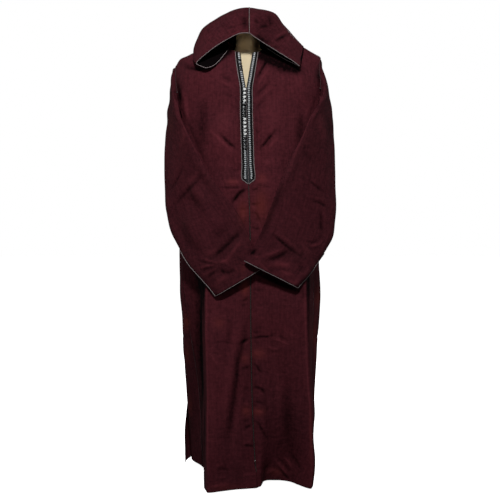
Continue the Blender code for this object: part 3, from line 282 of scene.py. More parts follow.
burgundy = woven_cloth("burgundy_wool_blend", "#3C181E", "#42191F", "#5C272E", "#090203", "#6C2C22")
# the sleeves get a darker copy of the same cloth, as painted shade on the sleeves
sleeve_burgundy_shaded = woven_cloth("burgundy_wool_blend_on_the_bias", "#321419", "#37151B", "#542329", "#090203",
                              "#5C2622")
# the dark shade of the jersey is the painted shade that the hood throws on the neck
jersey = woven_cloth("cream_cotton_jersey", "#C6B797", "#CDBE9E", "#D4C7AC", "#43382A", "#C6B48C", 0.05)
# the inside of the hood gets a near black cloth, as painted shade inside the hood
hood_inside_shade = woven_cloth("black_hood_lining", "#060304", "#070405", "#0B0607", "#030202", "#090405")
print("cloths:", [finish.name for finish in (burgundy, sleeve_burgundy_shaded, jersey, hood_inside_shade)])

# %% [markdown]
# ### Cords, braids and the form
# The trims are rayon, a shiny thread: silver grey in the pipings and braids, black in the bands, and
# black and white in the knots. Wound thread shows as fine ribs across a cord. The stand is of
# varnished beech and satin steel. The floor gives off light, so it is as white as the paper.

# %% Cords and braids
FUZZ_PER_METRE = 900.0


def wound_thread(name, base, light, pitch, rough, gloss):
    """A rayon cord: fine ribs of wound thread in two shades, on Object coordinates."""
    made, tree, shader = finish_of(name)
    place = add(tree, "ShaderNodeTexCoord").outputs["Object"]
    ribs = add(tree, "ShaderNodeTexWave", {"Vector": place, "Scale": bands(pitch), "Distortion": 2.0,
                                           "Detail": 1.0}, bands_direction="DIAGONAL")
    fuzz = add(tree, "ShaderNodeTexNoise", {"Vector": place, "Scale": FUZZ_PER_METRE})
    share = add(tree, "ShaderNodeMath", {0: ribs.outputs["Fac"], 1: fuzz}, operation="MULTIPLY")
    colour = add(tree, "ShaderNodeMix", {"Factor": share, 6: linear(base), 7: linear(light)},
                 data_type="RGBA")
    bump = add(tree, "ShaderNodeBump", {"Height": share, "Strength": 0.5, "Distance": 0.0003})
    give(tree, shader, {"Base Color": colour.outputs[2], "Normal": bump, "Roughness": rough,
                        "Specular IOR Level": gloss})
    return made


grey_cord = wound_thread("mauve_grey_rayon_cord", "#665C5D", "#968C8C", 0.0012, 0.55, 0.25)
silver_braid = wound_thread("silver_rayon_braid", "#A4A8AA", "#DCE0E2", 0.0012, 0.34, 0.45)
seam_thread = wound_thread("green_grey_seam_braid", "#33322F", "#4C4A45", 0.0012, 0.60, 0.15)
dim_cord = wound_thread("dull_mauve_cord", "#3C2A2C", "#5C484A", 0.0010, 0.65, 0.10)
black_satin = wound_thread("black_satin_tape", "#020203", "#08090A", 0.0012, 0.60, 0.08)
black_cord = wound_thread("black_rayon_cord", "#030304", "#0D0E10", 0.0010, 0.40, 0.50)
loop_cord = wound_thread("grey_brown_rayon_loop", "#3A3432", "#6A625E", 0.0008, 0.45, 0.30)
braid_ground = wound_thread("black_braid_ground", "#101114", "#26272B", 0.0010, 0.55, 0.10)
white_cord = wound_thread("white_rayon_cord", "#C9CBC9", "#F2F3F1", 0.0010, 0.36, 0.50)
burgundy_thread = wound_thread("burgundy_sewing_thread", "#32130F", "#4E2426", 0.0008, 0.60, 0.10)
grey_tape = wound_thread("dark_grey_tape", "#191A1D", "#2E2F33", 0.0009, 0.62, 0.12)
print("finishes so far:", len(bpy.data.materials))

# %% Wood, steel and floor
# the grain repeats every 125, 11 and 25 millimetres, and the brushing every 17, 17 and 1.1
GRAIN_PER_METRE = (8.0, 90.0, 40.0)
BRUSHED_PER_METRE = (60.0, 60.0, 900.0)

varnished, tree, shader = finish_of("varnished_beech")
place = add(tree, "ShaderNodeTexCoord")
stretched = add(tree, "ShaderNodeMapping", {"Vector": place.outputs["Object"], "Scale": GRAIN_PER_METRE})
grain = add(tree, "ShaderNodeTexNoise",
            {"Vector": stretched, "Scale": 1.0, "Detail": 6.0, "Distortion": 0.6})
brown = add(tree, "ShaderNodeMix", {"Factor": grain, 6: linear("#8A5A34"), 7: linear("#B98555")},
            data_type="RGBA")
give(tree, shader, {"Base Color": brown.outputs[2], "Roughness": 0.38, "Coat Weight": 0.3})

steel, tree, shader = finish_of("satin_steel")
place = add(tree, "ShaderNodeTexCoord")
brushed = add(tree, "ShaderNodeMapping", {"Vector": place.outputs["Object"], "Scale": BRUSHED_PER_METRE})
scratch = add(tree, "ShaderNodeTexNoise", {"Vector": brushed, "Scale": 1.0, "Detail": 3.0})
rough = add(tree, "ShaderNodeMapRange", {"Value": scratch, "To Min": 0.26, "To Max": 0.44})
give(tree, shader, {"Base Color": linear("#A5A6A8"), "Roughness": rough, "Metallic": 1.0})

pale_floor, tree, shader = finish_of("pale_floor")
place = add(tree, "ShaderNodeTexCoord")
mottle = add(tree, "ShaderNodeTexNoise", {"Vector": place.outputs["Object"], "Scale": 2.0, "Detail": 2.0})
floor_colour = add(tree, "ShaderNodeMix", {"Factor": mottle, 6: linear("#F4F4F4"), 7: linear("#FAFAFA")},
                   data_type="RGBA")
give(tree, shader, {"Base Color": floor_colour.outputs[2], "Roughness": 0.9,
                    "Emission Color": (1.0, 1.0, 1.0, 1.0), "Emission Strength": 0.98})

FLOOR_HALF = 9.0
FLOOR_LEVEL = -0.001
floor_mesh = bpy.data.meshes.new("floor")
floor_mesh.from_pydata([(x * FLOOR_HALF, y * FLOOR_HALF, FLOOR_LEVEL)
                        for x, y in ((-1, -1), (1, -1), (1, 1), (-1, 1))], [], [(0, 1, 2, 3)])
floor_mesh.materials.append(pale_floor)
floor = placed("floor", floor_mesh)
floor.visible_diffuse = False
floor.visible_glossy = False
floor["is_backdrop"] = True
print("floor", 2 * FLOOR_HALF, "m wide")

# %% [markdown]
# ## Reading the panels back
# A CAD cloth panel is a closed wall two millimetres thick. The edges of exactly that length lie round
# the rim, so taking the rim away leaves two sheets, and the outer one is slightly larger. Its
# triangles are paired back into the cells that they came from, and the cells are walked row by row.
# The sleeves are tubes, which are walked ring by ring instead.

# %% Sheets from walls
WALL = 0.002
WALL_SLACK = 0.000003
NEAR = 0.00002


def outer_sheet(node):
    """The outer face of a CAD wall, with its doubles merged: the larger island once the rim is off."""
    sheet = bmesh.new()
    sheet.from_mesh(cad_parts[node].data)
    bmesh.ops.remove_doubles(sheet, verts=sheet.verts, dist=NEAR)
    rim = {face for edge in sheet.edges if abs(edge.calc_length() - WALL) < WALL_SLACK
           for face in edge.link_faces}
    bmesh.ops.delete(sheet, geom=list(rim), context="FACES")
    islands = []
    left = set(sheet.faces)
    while left:
        stack = [left.pop()]
        island = list(stack)
        while stack:
            for edge in stack.pop().edges:
                for face in edge.link_faces:
                    if face in left:
                        left.discard(face)
                        stack.append(face)
                        island.append(face)
        islands.append(island)
    islands.sort(key=lambda island: sum(face.calc_area() for face in island))
    for island in islands[:-1]:
        bmesh.ops.delete(sheet, geom=island, context="FACES")
    return sheet


def corner_angle(face, edge):
    """The angle of a triangle opposite one of its edges."""
    tip = next(v for v in face.verts if v not in edge.verts)
    a, b = (v.co - tip.co for v in edge.verts)
    return a.angle(b)


def pair_triangles(sheet):
    """Joins the triangles of a sheet into its cells: a side of a known cell is never a diagonal."""
    sides = {edge for edge in sheet.edges if len(edge.link_faces) == 1}
    free = set(sheet.faces)
    diagonals = []

    def could_join(edge):
        return edge not in sides and len(edge.link_faces) == 2 and all(f in free for f in edge.link_faces)

    scored = sorted((max(abs(corner_angle(f, e) - math.pi / 2) for f in e.link_faces), e.index, e)
                    for e in sheet.edges if len(e.link_faces) == 2)
    waiting = [edge for _, _, edge in scored]
    while True:
        chosen = None
        for face in free:
            open_sides = [e for e in face.edges if e not in sides]
            if len(open_sides) == 1 and could_join(open_sides[0]):
                chosen = open_sides[0]
                break
        if chosen is None:
            waiting = [e for e in waiting if could_join(e)]
            if not waiting:
                break
            chosen = waiting[0]
        for face in chosen.link_faces:
            free.discard(face)
            sides.update(e for e in face.edges if e is not chosen)
        diagonals.append(chosen)
    bmesh.ops.dissolve_edges(sheet, edges=diagonals, use_verts=False)
    return len(free)


def walk_rows(sheet):
    """The points of a sheet of cells, row by row from a corner."""
    start = min((v for v in sheet.verts if len(v.link_faces) == 1), key=lambda v: v.co.to_tuple(6))
    row = [start]
    edge = next(e for e in start.link_edges if len(e.link_faces) == 1)
    while True:
        row.append(edge.other_vert(row[-1]))
        if len(row[-1].link_faces) == 1:
            break
        edge = next(e for e in row[-1].link_edges if len(e.link_faces) == 1 and e is not edge)
    rows = [row]
    used = set()
    while True:
        below = {}
        for a, b in zip(row, row[1:]):
            edge = next(e for e in a.link_edges if e.other_vert(a) is b)
            face = next((f for f in edge.link_faces if f not in used), None)
            if face is None:
                return [[v.co.copy() for v in r] for r in rows]
            used.add(face)
            for vert in (a, b):
                side = next(e for e in face.edges if vert in e.verts and e is not edge)
                below[vert] = side.other_vert(vert)
        row = [below[v] for v in row]
        rows.append(row)


def walk_rings(sheet):
    """The points of a tube of triangles, ring by ring: a ring is all that is equally many steps away."""
    rim = {v for e in sheet.edges if len(e.link_faces) == 1 for v in e.verts}
    start = max(rim, key=lambda v: v.co.z)
    ring = {start}
    stack = [start]
    while stack:
        for edge in stack.pop().link_edges:
            other = edge.verts[0] if edge.verts[0] not in ring else edge.verts[1]
            if len(edge.link_faces) == 1 and other not in ring:
                ring.add(other)
                stack.append(other)
    rings = []
    seen = set()
    while ring:
        seen |= ring
        order = [min(ring, key=lambda v: v.co.to_tuple(6))]
        while len(order) < len(ring):
            order.append(next(n for n in neighbours(order[-1]) if n in ring and n not in order))
        if rings:
            order = match_ring(rings[-1], order)
        rings.append(order)
        ring = {n for v in ring for n in neighbours(v)} - seen
    return [[v.co.copy() for v in r] for r in rings]


def neighbours(vert):
    """The vertices that share an edge with this one."""
    return [edge.other_vert(vert) for edge in vert.link_edges]


def match_ring(above, ring):
    """The ring turned so that each point has an edge to the one above it, by the shortest sides."""
    best = None
    for way in (ring, ring[::-1]):
        for shift in range(len(way)):
            turned = way[shift:] + way[:shift]
            if all(b in neighbours(a) for a, b in zip(above, turned)):
                length = sum((a.co - b.co).length_squared for a, b in zip(above, turned))
                if best is None or length < best[0]:
                    best = (length, turned)
    return best[1]


def grid_of(node, rows, run, closed=False):
    """A CAD panel's outer points as an array; rows follow each other along run, and faces look out."""
    sheet = outer_sheet(node)
    sample = max(sheet.faces, key=lambda f: f.calc_area())
    seen = (sample.calc_center_median(), sample.normal.copy())
    loose = 0 if closed else pair_triangles(sheet)
    points = np.array(walk_rings(sheet) if closed else walk_rows(sheet))
    if points.shape[0] != rows:
        points = points.transpose(1, 0, 2)
    if np.dot(points[-1].mean(0) - points[0].mean(0), run) < 0:
        points = points[::-1]
    across = np.roll(points, -1, axis=1) if closed else points[:, 1:]
    here = points if closed else points[:, :-1]
    middles = (here[:-1] + across[:-1] + here[1:] + across[1:]) / 4
    i, j = np.unravel_index(np.argmin(((middles - np.array(seen[0])) ** 2).sum(2)), middles.shape[:2])
    out = np.cross(here[i + 1, j] - here[i, j], across[i, j] - here[i, j])
    if np.dot(out, seen[1]) < 0:
        points = points[:, ::-1]
    sheet.free()
    print(node, "grid", points.shape[:2], "triangles left over:", loose)
    return points.copy()


# the rows of each kind of panel run down it, and those of the hood from its brim to the back
ROWS = {"front": 27, "back": 27, "gore": 15, "sleeve": 20, "hood": 16}
grids = {}
for kind, rows in ROWS.items():
    run = (0.0, 1.0, 0.0) if kind == "hood" else (0.0, 0.0, -1.0)
    for name in ("back",) if kind == "back" else (f"{kind}_left", f"{kind}_right"):
        grids[name] = grid_of(name, rows, run, closed=kind == "sleeve")

# %% [markdown]
# ## Making the cloth fine
# The CAD panels have a point every few centimetres. A smooth surface through those points, with new
# ones four to six millimetres apart, is fine enough to carry creases. The arc lengths along it are
# the flat coordinates that the cloth was cut in, so the weave runs with the fabric.

# %% Smooth surfaces through the panel points


def through(keys, values, wanted):
    """Values at the wanted keys on calm cubic curves through the given ones, along the first axis."""
    gap = np.diff(keys)[:, None, None]
    rise = np.diff(values, axis=0) / gap
    slope = np.empty_like(values)
    slope[1:-1] = (rise[:-1] * gap[1:] + rise[1:] * gap[:-1]) / (gap[1:] + gap[:-1])
    slope[0] = rise[0]
    slope[-1] = rise[-1]
    i = np.clip(np.searchsorted(keys, wanted, side="right") - 1, 0, len(keys) - 2)
    t = ((wanted - keys[i]) / (keys[i + 1] - keys[i]))[:, None, None]
    span = gap[i]
    slow = t * t * (3 - 2 * t)
    return (values[i] * (1 - slow) + values[i + 1] * slow
            + span * (slope[i] * t * (1 - t) ** 2 - slope[i + 1] * t * t * (1 - t)))


def lengths_along(points):
    """Arc length along the first axis, as the mean of all lines."""
    steps = np.linalg.norm(np.diff(points, axis=0), axis=2).mean(axis=1)
    return np.concatenate([[0.0], np.cumsum(steps)])


def lengths_across(points):
    """Arc length along each row, from its first point."""
    steps = np.linalg.norm(np.diff(points, axis=1), axis=2)
    return np.concatenate([np.zeros((len(points), 1)), np.cumsum(steps, axis=1)], axis=1)


def joined_up(points, closed):
    """The grid with its first column once more at the end, where it is closed to a tube."""
    return np.concatenate([points, points[:, :1]], axis=1) if closed else points


def between(keys, step):
    """The keys with enough new ones between them that none are further apart than a step."""
    found = [np.linspace(a, b, max(1, math.ceil((b - a) / step)), endpoint=False)
             for a, b in zip(keys, keys[1:])]
    return np.concatenate([*found, keys[-1:]])


def finer(grid, step, closed=False):
    """The grid with points about a step apart, on smooth curves through its own."""
    keys = lengths_along(grid)
    tall = through(keys, grid, between(keys, step)).transpose(1, 0, 2)
    if not closed:
        keys = lengths_along(tall)
        return through(keys, tall, between(keys, step)).transpose(1, 0, 2)
    ring = np.concatenate([tall[-3:], tall, tall[:4]])
    keys = lengths_along(ring)
    keys -= keys[3]
    wanted = between(keys[3:len(tall) + 4], step)[:-1]
    return through(keys, ring, wanted).transpose(1, 0, 2)


def normals_of(points, closed=False):
    """The outward direction at every point of a fine grid."""
    down = np.gradient(points, axis=0)
    if closed:
        side = np.roll(points, -1, axis=1) - np.roll(points, 1, axis=1)
    else:
        side = np.gradient(points, axis=1)
    out = np.cross(down, side)
    return out / np.maximum(np.linalg.norm(out, axis=2, keepdims=True), 1e-9)


def flat_coordinates(points, straight, closed=False):
    """Where each point lay on the flat cloth: across from a straight grain line, and down from the top."""
    across = lengths_across(joined_up(points, closed))
    return across - across[:, straight:straight + 1], -lengths_along(points)


# %% Cloth objects
CLOTH_THICK = 0.0016


def cloth_mesh(name, points, straight, closed, material, wear=None, rust=None):
    """A mesh of one sheet of cloth, its flat coordinates as a UV map, and its painted light, shade and
    rust.
    """
    rows, columns = points.shape[:2]
    across, down = flat_coordinates(points, straight, closed)
    wide = columns if closed else columns - 1
    faces = []
    corners = []
    for i in range(rows - 1):
        for j in range(wide):
            k = (j + 1) % columns
            faces.append((i * columns + j, (i + 1) * columns + j, (i + 1) * columns + k, i * columns + k))
            corners += [(across[i, j], down[i]), (across[i + 1, j], down[i + 1]),
                        (across[i + 1, j + 1], down[i + 1]), (across[i, j + 1], down[i])]
    mesh = bpy.data.meshes.new(name)
    mesh.from_pydata(points.reshape(-1, 3).tolist(), [], faces)
    flat = mesh.uv_layers.new(name="flat")
    flat.data.foreach_set("uv", np.array(corners, np.float32).ravel())
    mesh.polygons.foreach_set("use_smooth", [True] * len(faces))
    mesh.materials.append(material)
    for label, values in (("wear", wear), ("rust", rust)):
        kept = mesh.attributes.new(label, "FLOAT", "POINT")
        if values is not None:
            kept.data.foreach_set("value", np.asarray(values, np.float32).ravel())
    return mesh


def plain_copy(made):
    """The object with its modifiers made part of its mesh."""
    bpy.context.view_layer.update()
    evaluated = made.evaluated_get(bpy.context.evaluated_depsgraph_get())
    mesh = bpy.data.meshes.new_from_object(evaluated)
    made.modifiers.clear()
    made.data = mesh
    mesh.name = made.name
    return made


def cloth_piece(name, points, straight, closed, material, wear, rust):
    """A finished piece of cloth: the sheet is its outer face, and the thickness goes inwards."""
    made = placed(name, cloth_mesh(name, points, straight, closed, material, wear, rust))
    thick = made.modifiers.new("thickness", "SOLIDIFY")
    thick.thickness = CLOTH_THICK
    thick.offset = -1.0
    # the inner face of the hood is near black, a painted shade for the shadow inside the hood
    if name.startswith("hood"):
        made.data.materials.append(hood_inside_shade)
        thick.material_offset = 1
    plain_copy(made)
    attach(made, "root")
    return made


# %% [markdown]
# ## Folds
# A fold is a line drawn where it shows in the photograph, with a rise and a width on each side of
# the line, because a sharp crease falls away quickly on one side. Between the folds the whole cloth
# moves in slow, shallow waves, longer down the cloth than across it, as a hanging cloth does.

# %% Where a point shows in the photograph
PIXELS = 500
MM_PER_PIXEL = 3.2


def in_picture(points):
    """Millimetres to the right and up that each point has in the photograph, from its top left corner."""
    off = points - np.array(CAMERA_PLACE)
    dip = math.radians(CAMERA_DIP_DEGREES)
    away = off[..., 1] * math.cos(dip) - off[..., 2] * math.sin(dip)
    up = off[..., 1] * math.sin(dip) + off[..., 2] * math.cos(dip)
    focal = PIXELS * CAMERA_LENS / SENSOR_WIDTH
    right = PIXELS * (0.5 - CAMERA_SHIFT) + focal * off[..., 0] / away
    down = PIXELS * 0.5 - focal * up / away
    return right * MM_PER_PIXEL, -down * MM_PER_PIXEL


def from_picture(line):
    """The same measure for a line that is read off the photograph in pixels."""
    return np.array([(right * MM_PER_PIXEL, -down * MM_PER_PIXEL) for right, down in line])


def seen_level(turn):
    """A measure for folds drawn in millimetres, as seen level from a side: 0 is the back."""
    c, s = math.cos(math.radians(turn)), math.sin(math.radians(turn))

    def measure(points):
        return (points[..., 1] * s - points[..., 0] * c) * 1000, points[..., 2] * 1000

    return measure


# %% The shape of one fold
# a fold is at its full height from 1 / END_SLOPE of its length to as far before its end, and it
# fades where the cloth turns away from the side that it was seen from
END_SLOPE = 2.6
AWAY_AT = 0.1
AWAY_FADE = 0.4


def fold_shape(across, up, line, near, far):
    """How strongly each point belongs to a fold: 1 on its line, less to the sides, 0 past its ends."""
    best = np.full(across.shape, 1e9)
    side = np.zeros(across.shape)
    share = np.zeros(across.shape)
    steps = np.linalg.norm(np.diff(line, axis=0), axis=1)
    start = 0.0
    for (ax, ay), (bx, by), step in zip(line, line[1:], steps):
        dx, dy = (bx - ax) / step, (by - ay) / step
        along = np.clip((across - ax) * dx + (up - ay) * dy, 0, step)
        off_x = across - ax - along * dx
        off_y = up - ay - along * dy
        distance = np.hypot(off_x, off_y)
        closer = distance < best
        best = np.where(closer, distance, best)
        side = np.where(closer, dx * off_y - dy * off_x, side)
        share = np.where(closer, (start + along) / steps.sum(), share)
        start += step
    width = np.where(side > 0, near, far)
    ends = np.clip(np.minimum(share, 1 - share) * END_SLOPE, 0, 1)
    ends = ends * ends * (3 - 2 * ends)
    return np.exp(-(best / width) ** 2) * ends


def folds_at(points, normals, folds, measure, towards):
    """The sum of the folds at each point, in metres outwards, where the cloth faces a direction."""
    across, up = measure(points)
    look = np.clip((normals @ np.array(towards) - AWAY_AT) / AWAY_FADE, 0, 1)
    rise = np.zeros(across.shape)
    for line, height, *widths in folds:
        drawn = from_picture(line) if measure is in_picture else np.array(line, float)
        rise += height / 1000 * fold_shape(across, up, drawn, widths[0], widths[-1])
    return rise * look


def waves_at(points, size, height, seed):
    """Slow waves of a hanging cloth; the same place always gets the same wave."""
    flat = points.reshape(-1, 3)
    found = [noise.noise(Vector((x / size + seed, y / size, z / size / 2.6))) for x, y, z in flat.tolist()]
    return np.array(found).reshape(points.shape[:2]) * height


# %% [markdown]
# ### The folds that the photograph shows
# Each line runs through the middle of one fold: its points in pixels, how far it stands out in
# millimetres, and its width in millimetres, or two widths where its sides differ.

# %% Folds of the chest
CHEST_FOLDS = [
    # chest, left of the placket
    ([(217, 131), (221, 134.5), (226, 140.7), (231.5, 145), (239, 150)], -2.6, 5),
    ([(208, 129), (217, 136.4), (222.5, 142.5), (229, 148.5), (236, 154)], 1.8, 4, 7),
    ([(218, 73.5), (226, 78), (235, 84)], -1.3, 5, 4),
    ([(219, 80), (226, 84), (233, 90)], 0.9, 4, 5),
    ([(222, 91), (231, 96), (238, 100)], -0.8, 6, 5),
    ([(228, 104), (234, 107), (239, 109)], -0.7, 5),
    ([(228, 120), (234, 123), (240, 125)], -0.5, 4),
    ([(204, 96), (202, 120), (203, 150)], -1.1, 16, 12),
    ([(184, 88), (186, 108), (189, 130)], 1.6, 7),
    ([(177, 76), (179, 92), (181, 108)], -1.8, 6),
    ([(212, 160), (225, 166), (238, 168)], 0.7, 9, 10),
    ([(229, 170.5), (235, 170), (241, 169)], -0.9, 4),
    ([(216, 186.8), (229, 187.7), (247, 187.3)], -1.7, 3, 3.5),
    ([(224, 182), (233, 182.5), (243, 182)], 1.1, 6, 7),
    ([(249, 187.3), (240.3, 192.3), (234.8, 198.6), (230.5, 206)], -3.6, 6, 5),
    # chest, right of the placket
    ([(279, 126.5), (269.4, 137.9), (263, 145.7), (257, 153.5)], -3.0, 3.5, 4.5),
    ([(281, 134), (273, 143), (266, 152)], 1.4, 7, 5),
    ([(269, 57), (262, 69), (255.5, 81)], -2.4, 4, 5),
    ([(271, 65), (263.5, 76), (256, 88)], 1.3, 4),
    ([(271, 81), (262.5, 89), (255, 97)], -1.5, 4),
    ([(275, 84), (264, 94), (256, 103)], 1.0, 4),
    ([(266, 99), (260, 104.5), (254.5, 110)], -1.1, 4),
    ([(263, 129.5), (258, 132), (255, 134)], -0.8, 4),
    ([(303, 108), (300.5, 128), (296, 147)], -1.2, 9),
    ([(308, 98), (307, 118), (302, 140)], 1.0, 8),
    ([(318.5, 66), (319, 76), (319.8, 86)], -1.6, 6),
    ([(256, 160), (268, 163), (280, 160)], 0.8, 9),
    ([(249.5, 189), (254, 189.5), (259, 189)], -1.3, 3.5, 4),
    ([(256, 187), (263, 186.2), (272, 187)], -0.9, 3.5, 4),
    ([(252, 183), (262, 181), (272, 180)], 0.7, 6, 7),
    # puckers beside the seam above the sleeves
    ([(249.5, 203), (255, 204.5), (263, 202.5)], -1.6, 4),
    ([(250, 207.5), (258, 208)], 0.8, 4),
    ([(249.5, 212), (256, 213), (259.5, 219), (261.5, 226)], -1.6, 3.5),
    ([(254, 222), (260.5, 223.5)], 1.0, 4, 3.5),
    ([(250, 227.5), (256, 228.8), (261, 228)], -1.8, 3.5),
    ([(251, 234), (258, 236)], 0.8, 4),
    ([(238.5, 209.6), (247.5, 208.6)], -1.3, 3.5),
    ([(239, 199), (248, 200)], 0.7, 5),
    ([(239, 216), (248, 217)], 0.8, 5),
    ([(245, 220), (242, 228)], -1.0, 4),
]

# %% Folds of the skirt
SKIRT_FOLDS = [
    # the pressed edges at both sides of the front, and the deep folds behind them
    ([(203.6, 170), (203.4, 262), (203.0, 300), (203.2, 345), (203.8, 376), (204.2, 420), (204.6, 475),
      (204.8, 560)], -3.8, 3, 10),
    ([(206.6, 170), (206.4, 284), (206.4, 340), (207, 385), (207.5, 430), (207.5, 560)], 2.2, 3),
    ([(198, 200), (197.5, 330), (200, 376), (201.5, 450), (202, 520)], -1.3, 9),
    ([(307, 180), (308, 270), (308.3, 300), (309, 330), (309.8, 368), (310, 380)], -3.0, 8, 3),
    ([(304, 200), (304.8, 278), (305.3, 320), (306.6, 360), (307.8, 385), (309.6, 405), (311.3, 450),
      (312, 520)], 1.9, 3),
    # the broad slanting fold, and the soft ones beside it
    ([(247.6, 303), (246.8, 325), (244.2, 340), (240.5, 352), (237.8, 365), (236.8, 380), (234, 400),
      (231, 420), (228.3, 440), (226.5, 466)], -2.3, 6, 12),
    ([(239, 294), (238.5, 325), (235, 345), (231, 370), (225, 400), (220, 440)], 0.9, 12, 16),
    ([(243, 368), (241, 395), (237.5, 415), (234.5, 448)], 0.9, 7),
    ([(283, 370), (287, 410), (290, 466)], -0.9, 16),
    ([(276, 364), (279, 400), (279, 448)], 0.8, 10),
    ([(261, 390), (267, 412), (270, 446)], -0.9, 8),
    ([(214, 290), (212.5, 350), (212, 410), (213, 480)], 0.6, 10, 16),
    ([(230.5, 312), (229, 334), (225.5, 350), (223.5, 368)], -0.7, 6),
    # where the robe lay folded across
    ([(206, 343.3), (222, 341.7), (232, 343.5), (242, 344)], -1.3, 3, 3.5),
    ([(238, 345.3), (244.5, 341), (251.5, 337.6)], -2.8, 3.5, 3),
    ([(241.5, 346.5), (247, 342.7), (251.5, 341)], 1.1, 3, 3.5),
    ([(249.5, 339.2), (259.5, 337), (266, 337), (276, 334.6)], -2.4, 3, 3.5),
    ([(270, 337.8), (280, 341), (290, 345)], 1.5, 3),
    ([(275, 335), (283, 337.5), (291, 342.5)], -1.1, 3),
    ([(264, 345), (271.5, 348), (280, 350.5)], 1.1, 4, 3.5),
    ([(266, 350.6), (274, 352), (283, 349.5)], -0.9, 4),
    ([(281, 328.5), (290, 334), (300, 338)], 0.9, 4),
    ([(207.5, 349), (214, 360), (219, 368)], 0.8, 4),
    ([(251, 330.6), (256, 333), (261, 332)], -1.5, 3.5),
    ([(251, 289.2), (258, 290.5), (266, 289)], -0.9, 4),
    ([(252, 303), (262, 305), (272, 303.5)], -0.6, 4, 5),
    ([(252, 325), (258, 328), (266, 327)], -0.7, 5),
    # puckers beside the centre seam
    ([(240, 302), (245, 300.5), (250, 295.5)], -1.9, 3.5),
    ([(240.5, 306.6), (246, 303.5)], -1.4, 3.5),
    ([(240, 292.4), (246, 289.5)], -1.1, 3.5),
    ([(241, 285), (249, 285.5)], 0.9, 5),
    ([(241, 311.5), (248, 308.6)], 0.8, 4, 5),
    ([(241, 370), (246, 367.8), (251, 366.6)], -1.9, 4),
    ([(250, 364.2), (256, 365.5), (263, 375.4)], -1.8, 4),
    ([(251.5, 354.4), (262, 353), (268.5, 356.6)], 1.0, 6),
    ([(242, 358), (250, 358)], 0.8, 5),
    ([(252, 377), (261, 379)], 0.8, 5),
    ([(250, 389.4), (256, 387.5), (262, 389.5), (267, 396.5)], -2.0, 4.5),
    ([(244, 389.2), (250.5, 387.8)], -1.3, 4),
    ([(253, 394.6), (260, 396.8)], 1.0, 4.5),
    ([(254, 401.8), (260, 402.5), (265, 405.6)], -1.4, 4),
    ([(252, 405.4), (258, 406.1)], -1.2, 3.5),
    ([(242, 403.9), (250, 404.6)], 1.2, 3.5, 4),
    ([(242, 408.1), (250, 407.4)], -0.9, 3),
    ([(252.5, 412), (265.5, 412.6)], 1.2, 5),
    ([(242.5, 411.7), (250, 412)], 0.9, 4, 5),
    ([(251, 419), (258, 423), (262, 430), (266, 437), (272, 442)], -2.0, 4.5),
    ([(242.5, 423), (250, 419)], -1.6, 3.5),
    ([(243.5, 429), (248, 427), (252, 425)], -2.3, 3.5),
    ([(240, 434.2), (250, 431.8)], 0.7, 6),
    ([(253, 430.8), (260, 432.2)], 0.8, 4),
    ([(241.5, 446.6), (250, 445.8), (257, 446.9)], -2.4, 3),
    ([(242, 443.1), (251, 441.9)], 0.8, 3.5),
    ([(245, 459.5), (253, 455.5)], -0.8, 4),
    # above the hem
    ([(272, 455.6), (278.7, 464), (284, 470), (290, 477)], 2.3, 4),
    ([(282, 455), (288.7, 461.7), (294, 472)], 2.1, 4),
    ([(277, 456), (284, 464), (291, 474)], -1.2, 3.5),
    ([(278, 467), (284, 474), (291, 481)], -2.0, 4),
    ([(287, 448), (295, 460), (303, 474)], -1.3, 6),
    ([(261, 472.6), (267, 468), (272.6, 459)], -1.2, 5),
    ([(267, 475.6), (273, 470), (280, 475.4)], 1.7, 5, 4),
    ([(213, 468), (219, 465), (226, 463.2)], 0.9, 3.5, 4),
    ([(213, 471.2), (222, 469), (231, 470)], -1.0, 4),
    ([(217, 478.2), (222, 477.3), (228, 476.9)], 1.5, 3.5),
    ([(240, 476.8), (246, 474.8), (256, 473.8)], 1.2, 3),
    ([(209, 487.3), (222, 485), (233, 481.6)], 1.3, 4),
    ([(210.4, 392.2), (216.6, 399.8)], 0.9, 3),
    ([(233.8, 426), (233.3, 450), (232.8, 472)], 0.8, 3),
]

# %% Folds of the sleeves
LEFT_SLEEVE_FOLDS = [
    ([(168, 85), (176.4, 104), (187, 128), (197, 151), (206.4, 169), (214, 184)], 1.3, 3),
    ([(186, 163), (179, 176.5), (173.5, 186), (167.4, 195)], -2.0, 3.5),
    ([(207, 170), (196, 182), (184, 195), (170, 210)], -2.1, 4.5),
    ([(201, 167), (190, 182), (180, 193)], 0.9, 6),
    ([(188, 114), (184, 134), (179, 154)], 0.8, 7),
    ([(246, 226), (238.5, 234.5), (232, 240.5), (225, 247.5), (217, 255), (206, 262)], -2.8, 5, 9),
    ([(244.5, 236), (236, 248), (226, 262)], 1.7, 4.5, 6),
    ([(232, 226), (221, 232), (210, 241)], -0.7, 12),
    ([(201.5, 258), (210, 260.8), (219, 263)], 1.7, 3.5),
    ([(195, 269.6), (206, 266), (218.5, 263.7)], 1.9, 3.5),
    ([(192.5, 257.4), (202, 261.8), (210, 264), (217, 264.3)], -1.7, 3.5),
    ([(199.5, 272.6), (208.5, 268.2), (217.5, 266.8)], -1.9, 4),
    ([(205, 280), (212, 274), (219, 268)], -1.9, 4.5),
    ([(199, 276.4), (206, 274), (213, 269.4)], 0.9, 3.5),
    ([(218, 266), (223, 271.5), (229, 272.5), (237.5, 268.2)], -2.1, 5.5),
    ([(216.5, 262.8), (225, 261.3), (232.5, 256)], 1.9, 4.5),
    ([(203.5, 254.4), (211, 252.5), (219.5, 248)], 1.4, 6),
    ([(239.2, 255.6), (241.3, 263.4)], -1.3, 4),
    ([(215, 290), (219, 281), (228, 276.4)], 1.3, 6),
    ([(223, 288), (228, 280), (237, 278.6)], -0.7, 5),
    ([(233, 264), (239, 276)], 0.8, 4),
    ([(178, 236), (190, 246), (204, 252)], -0.6, 9, 8),
]

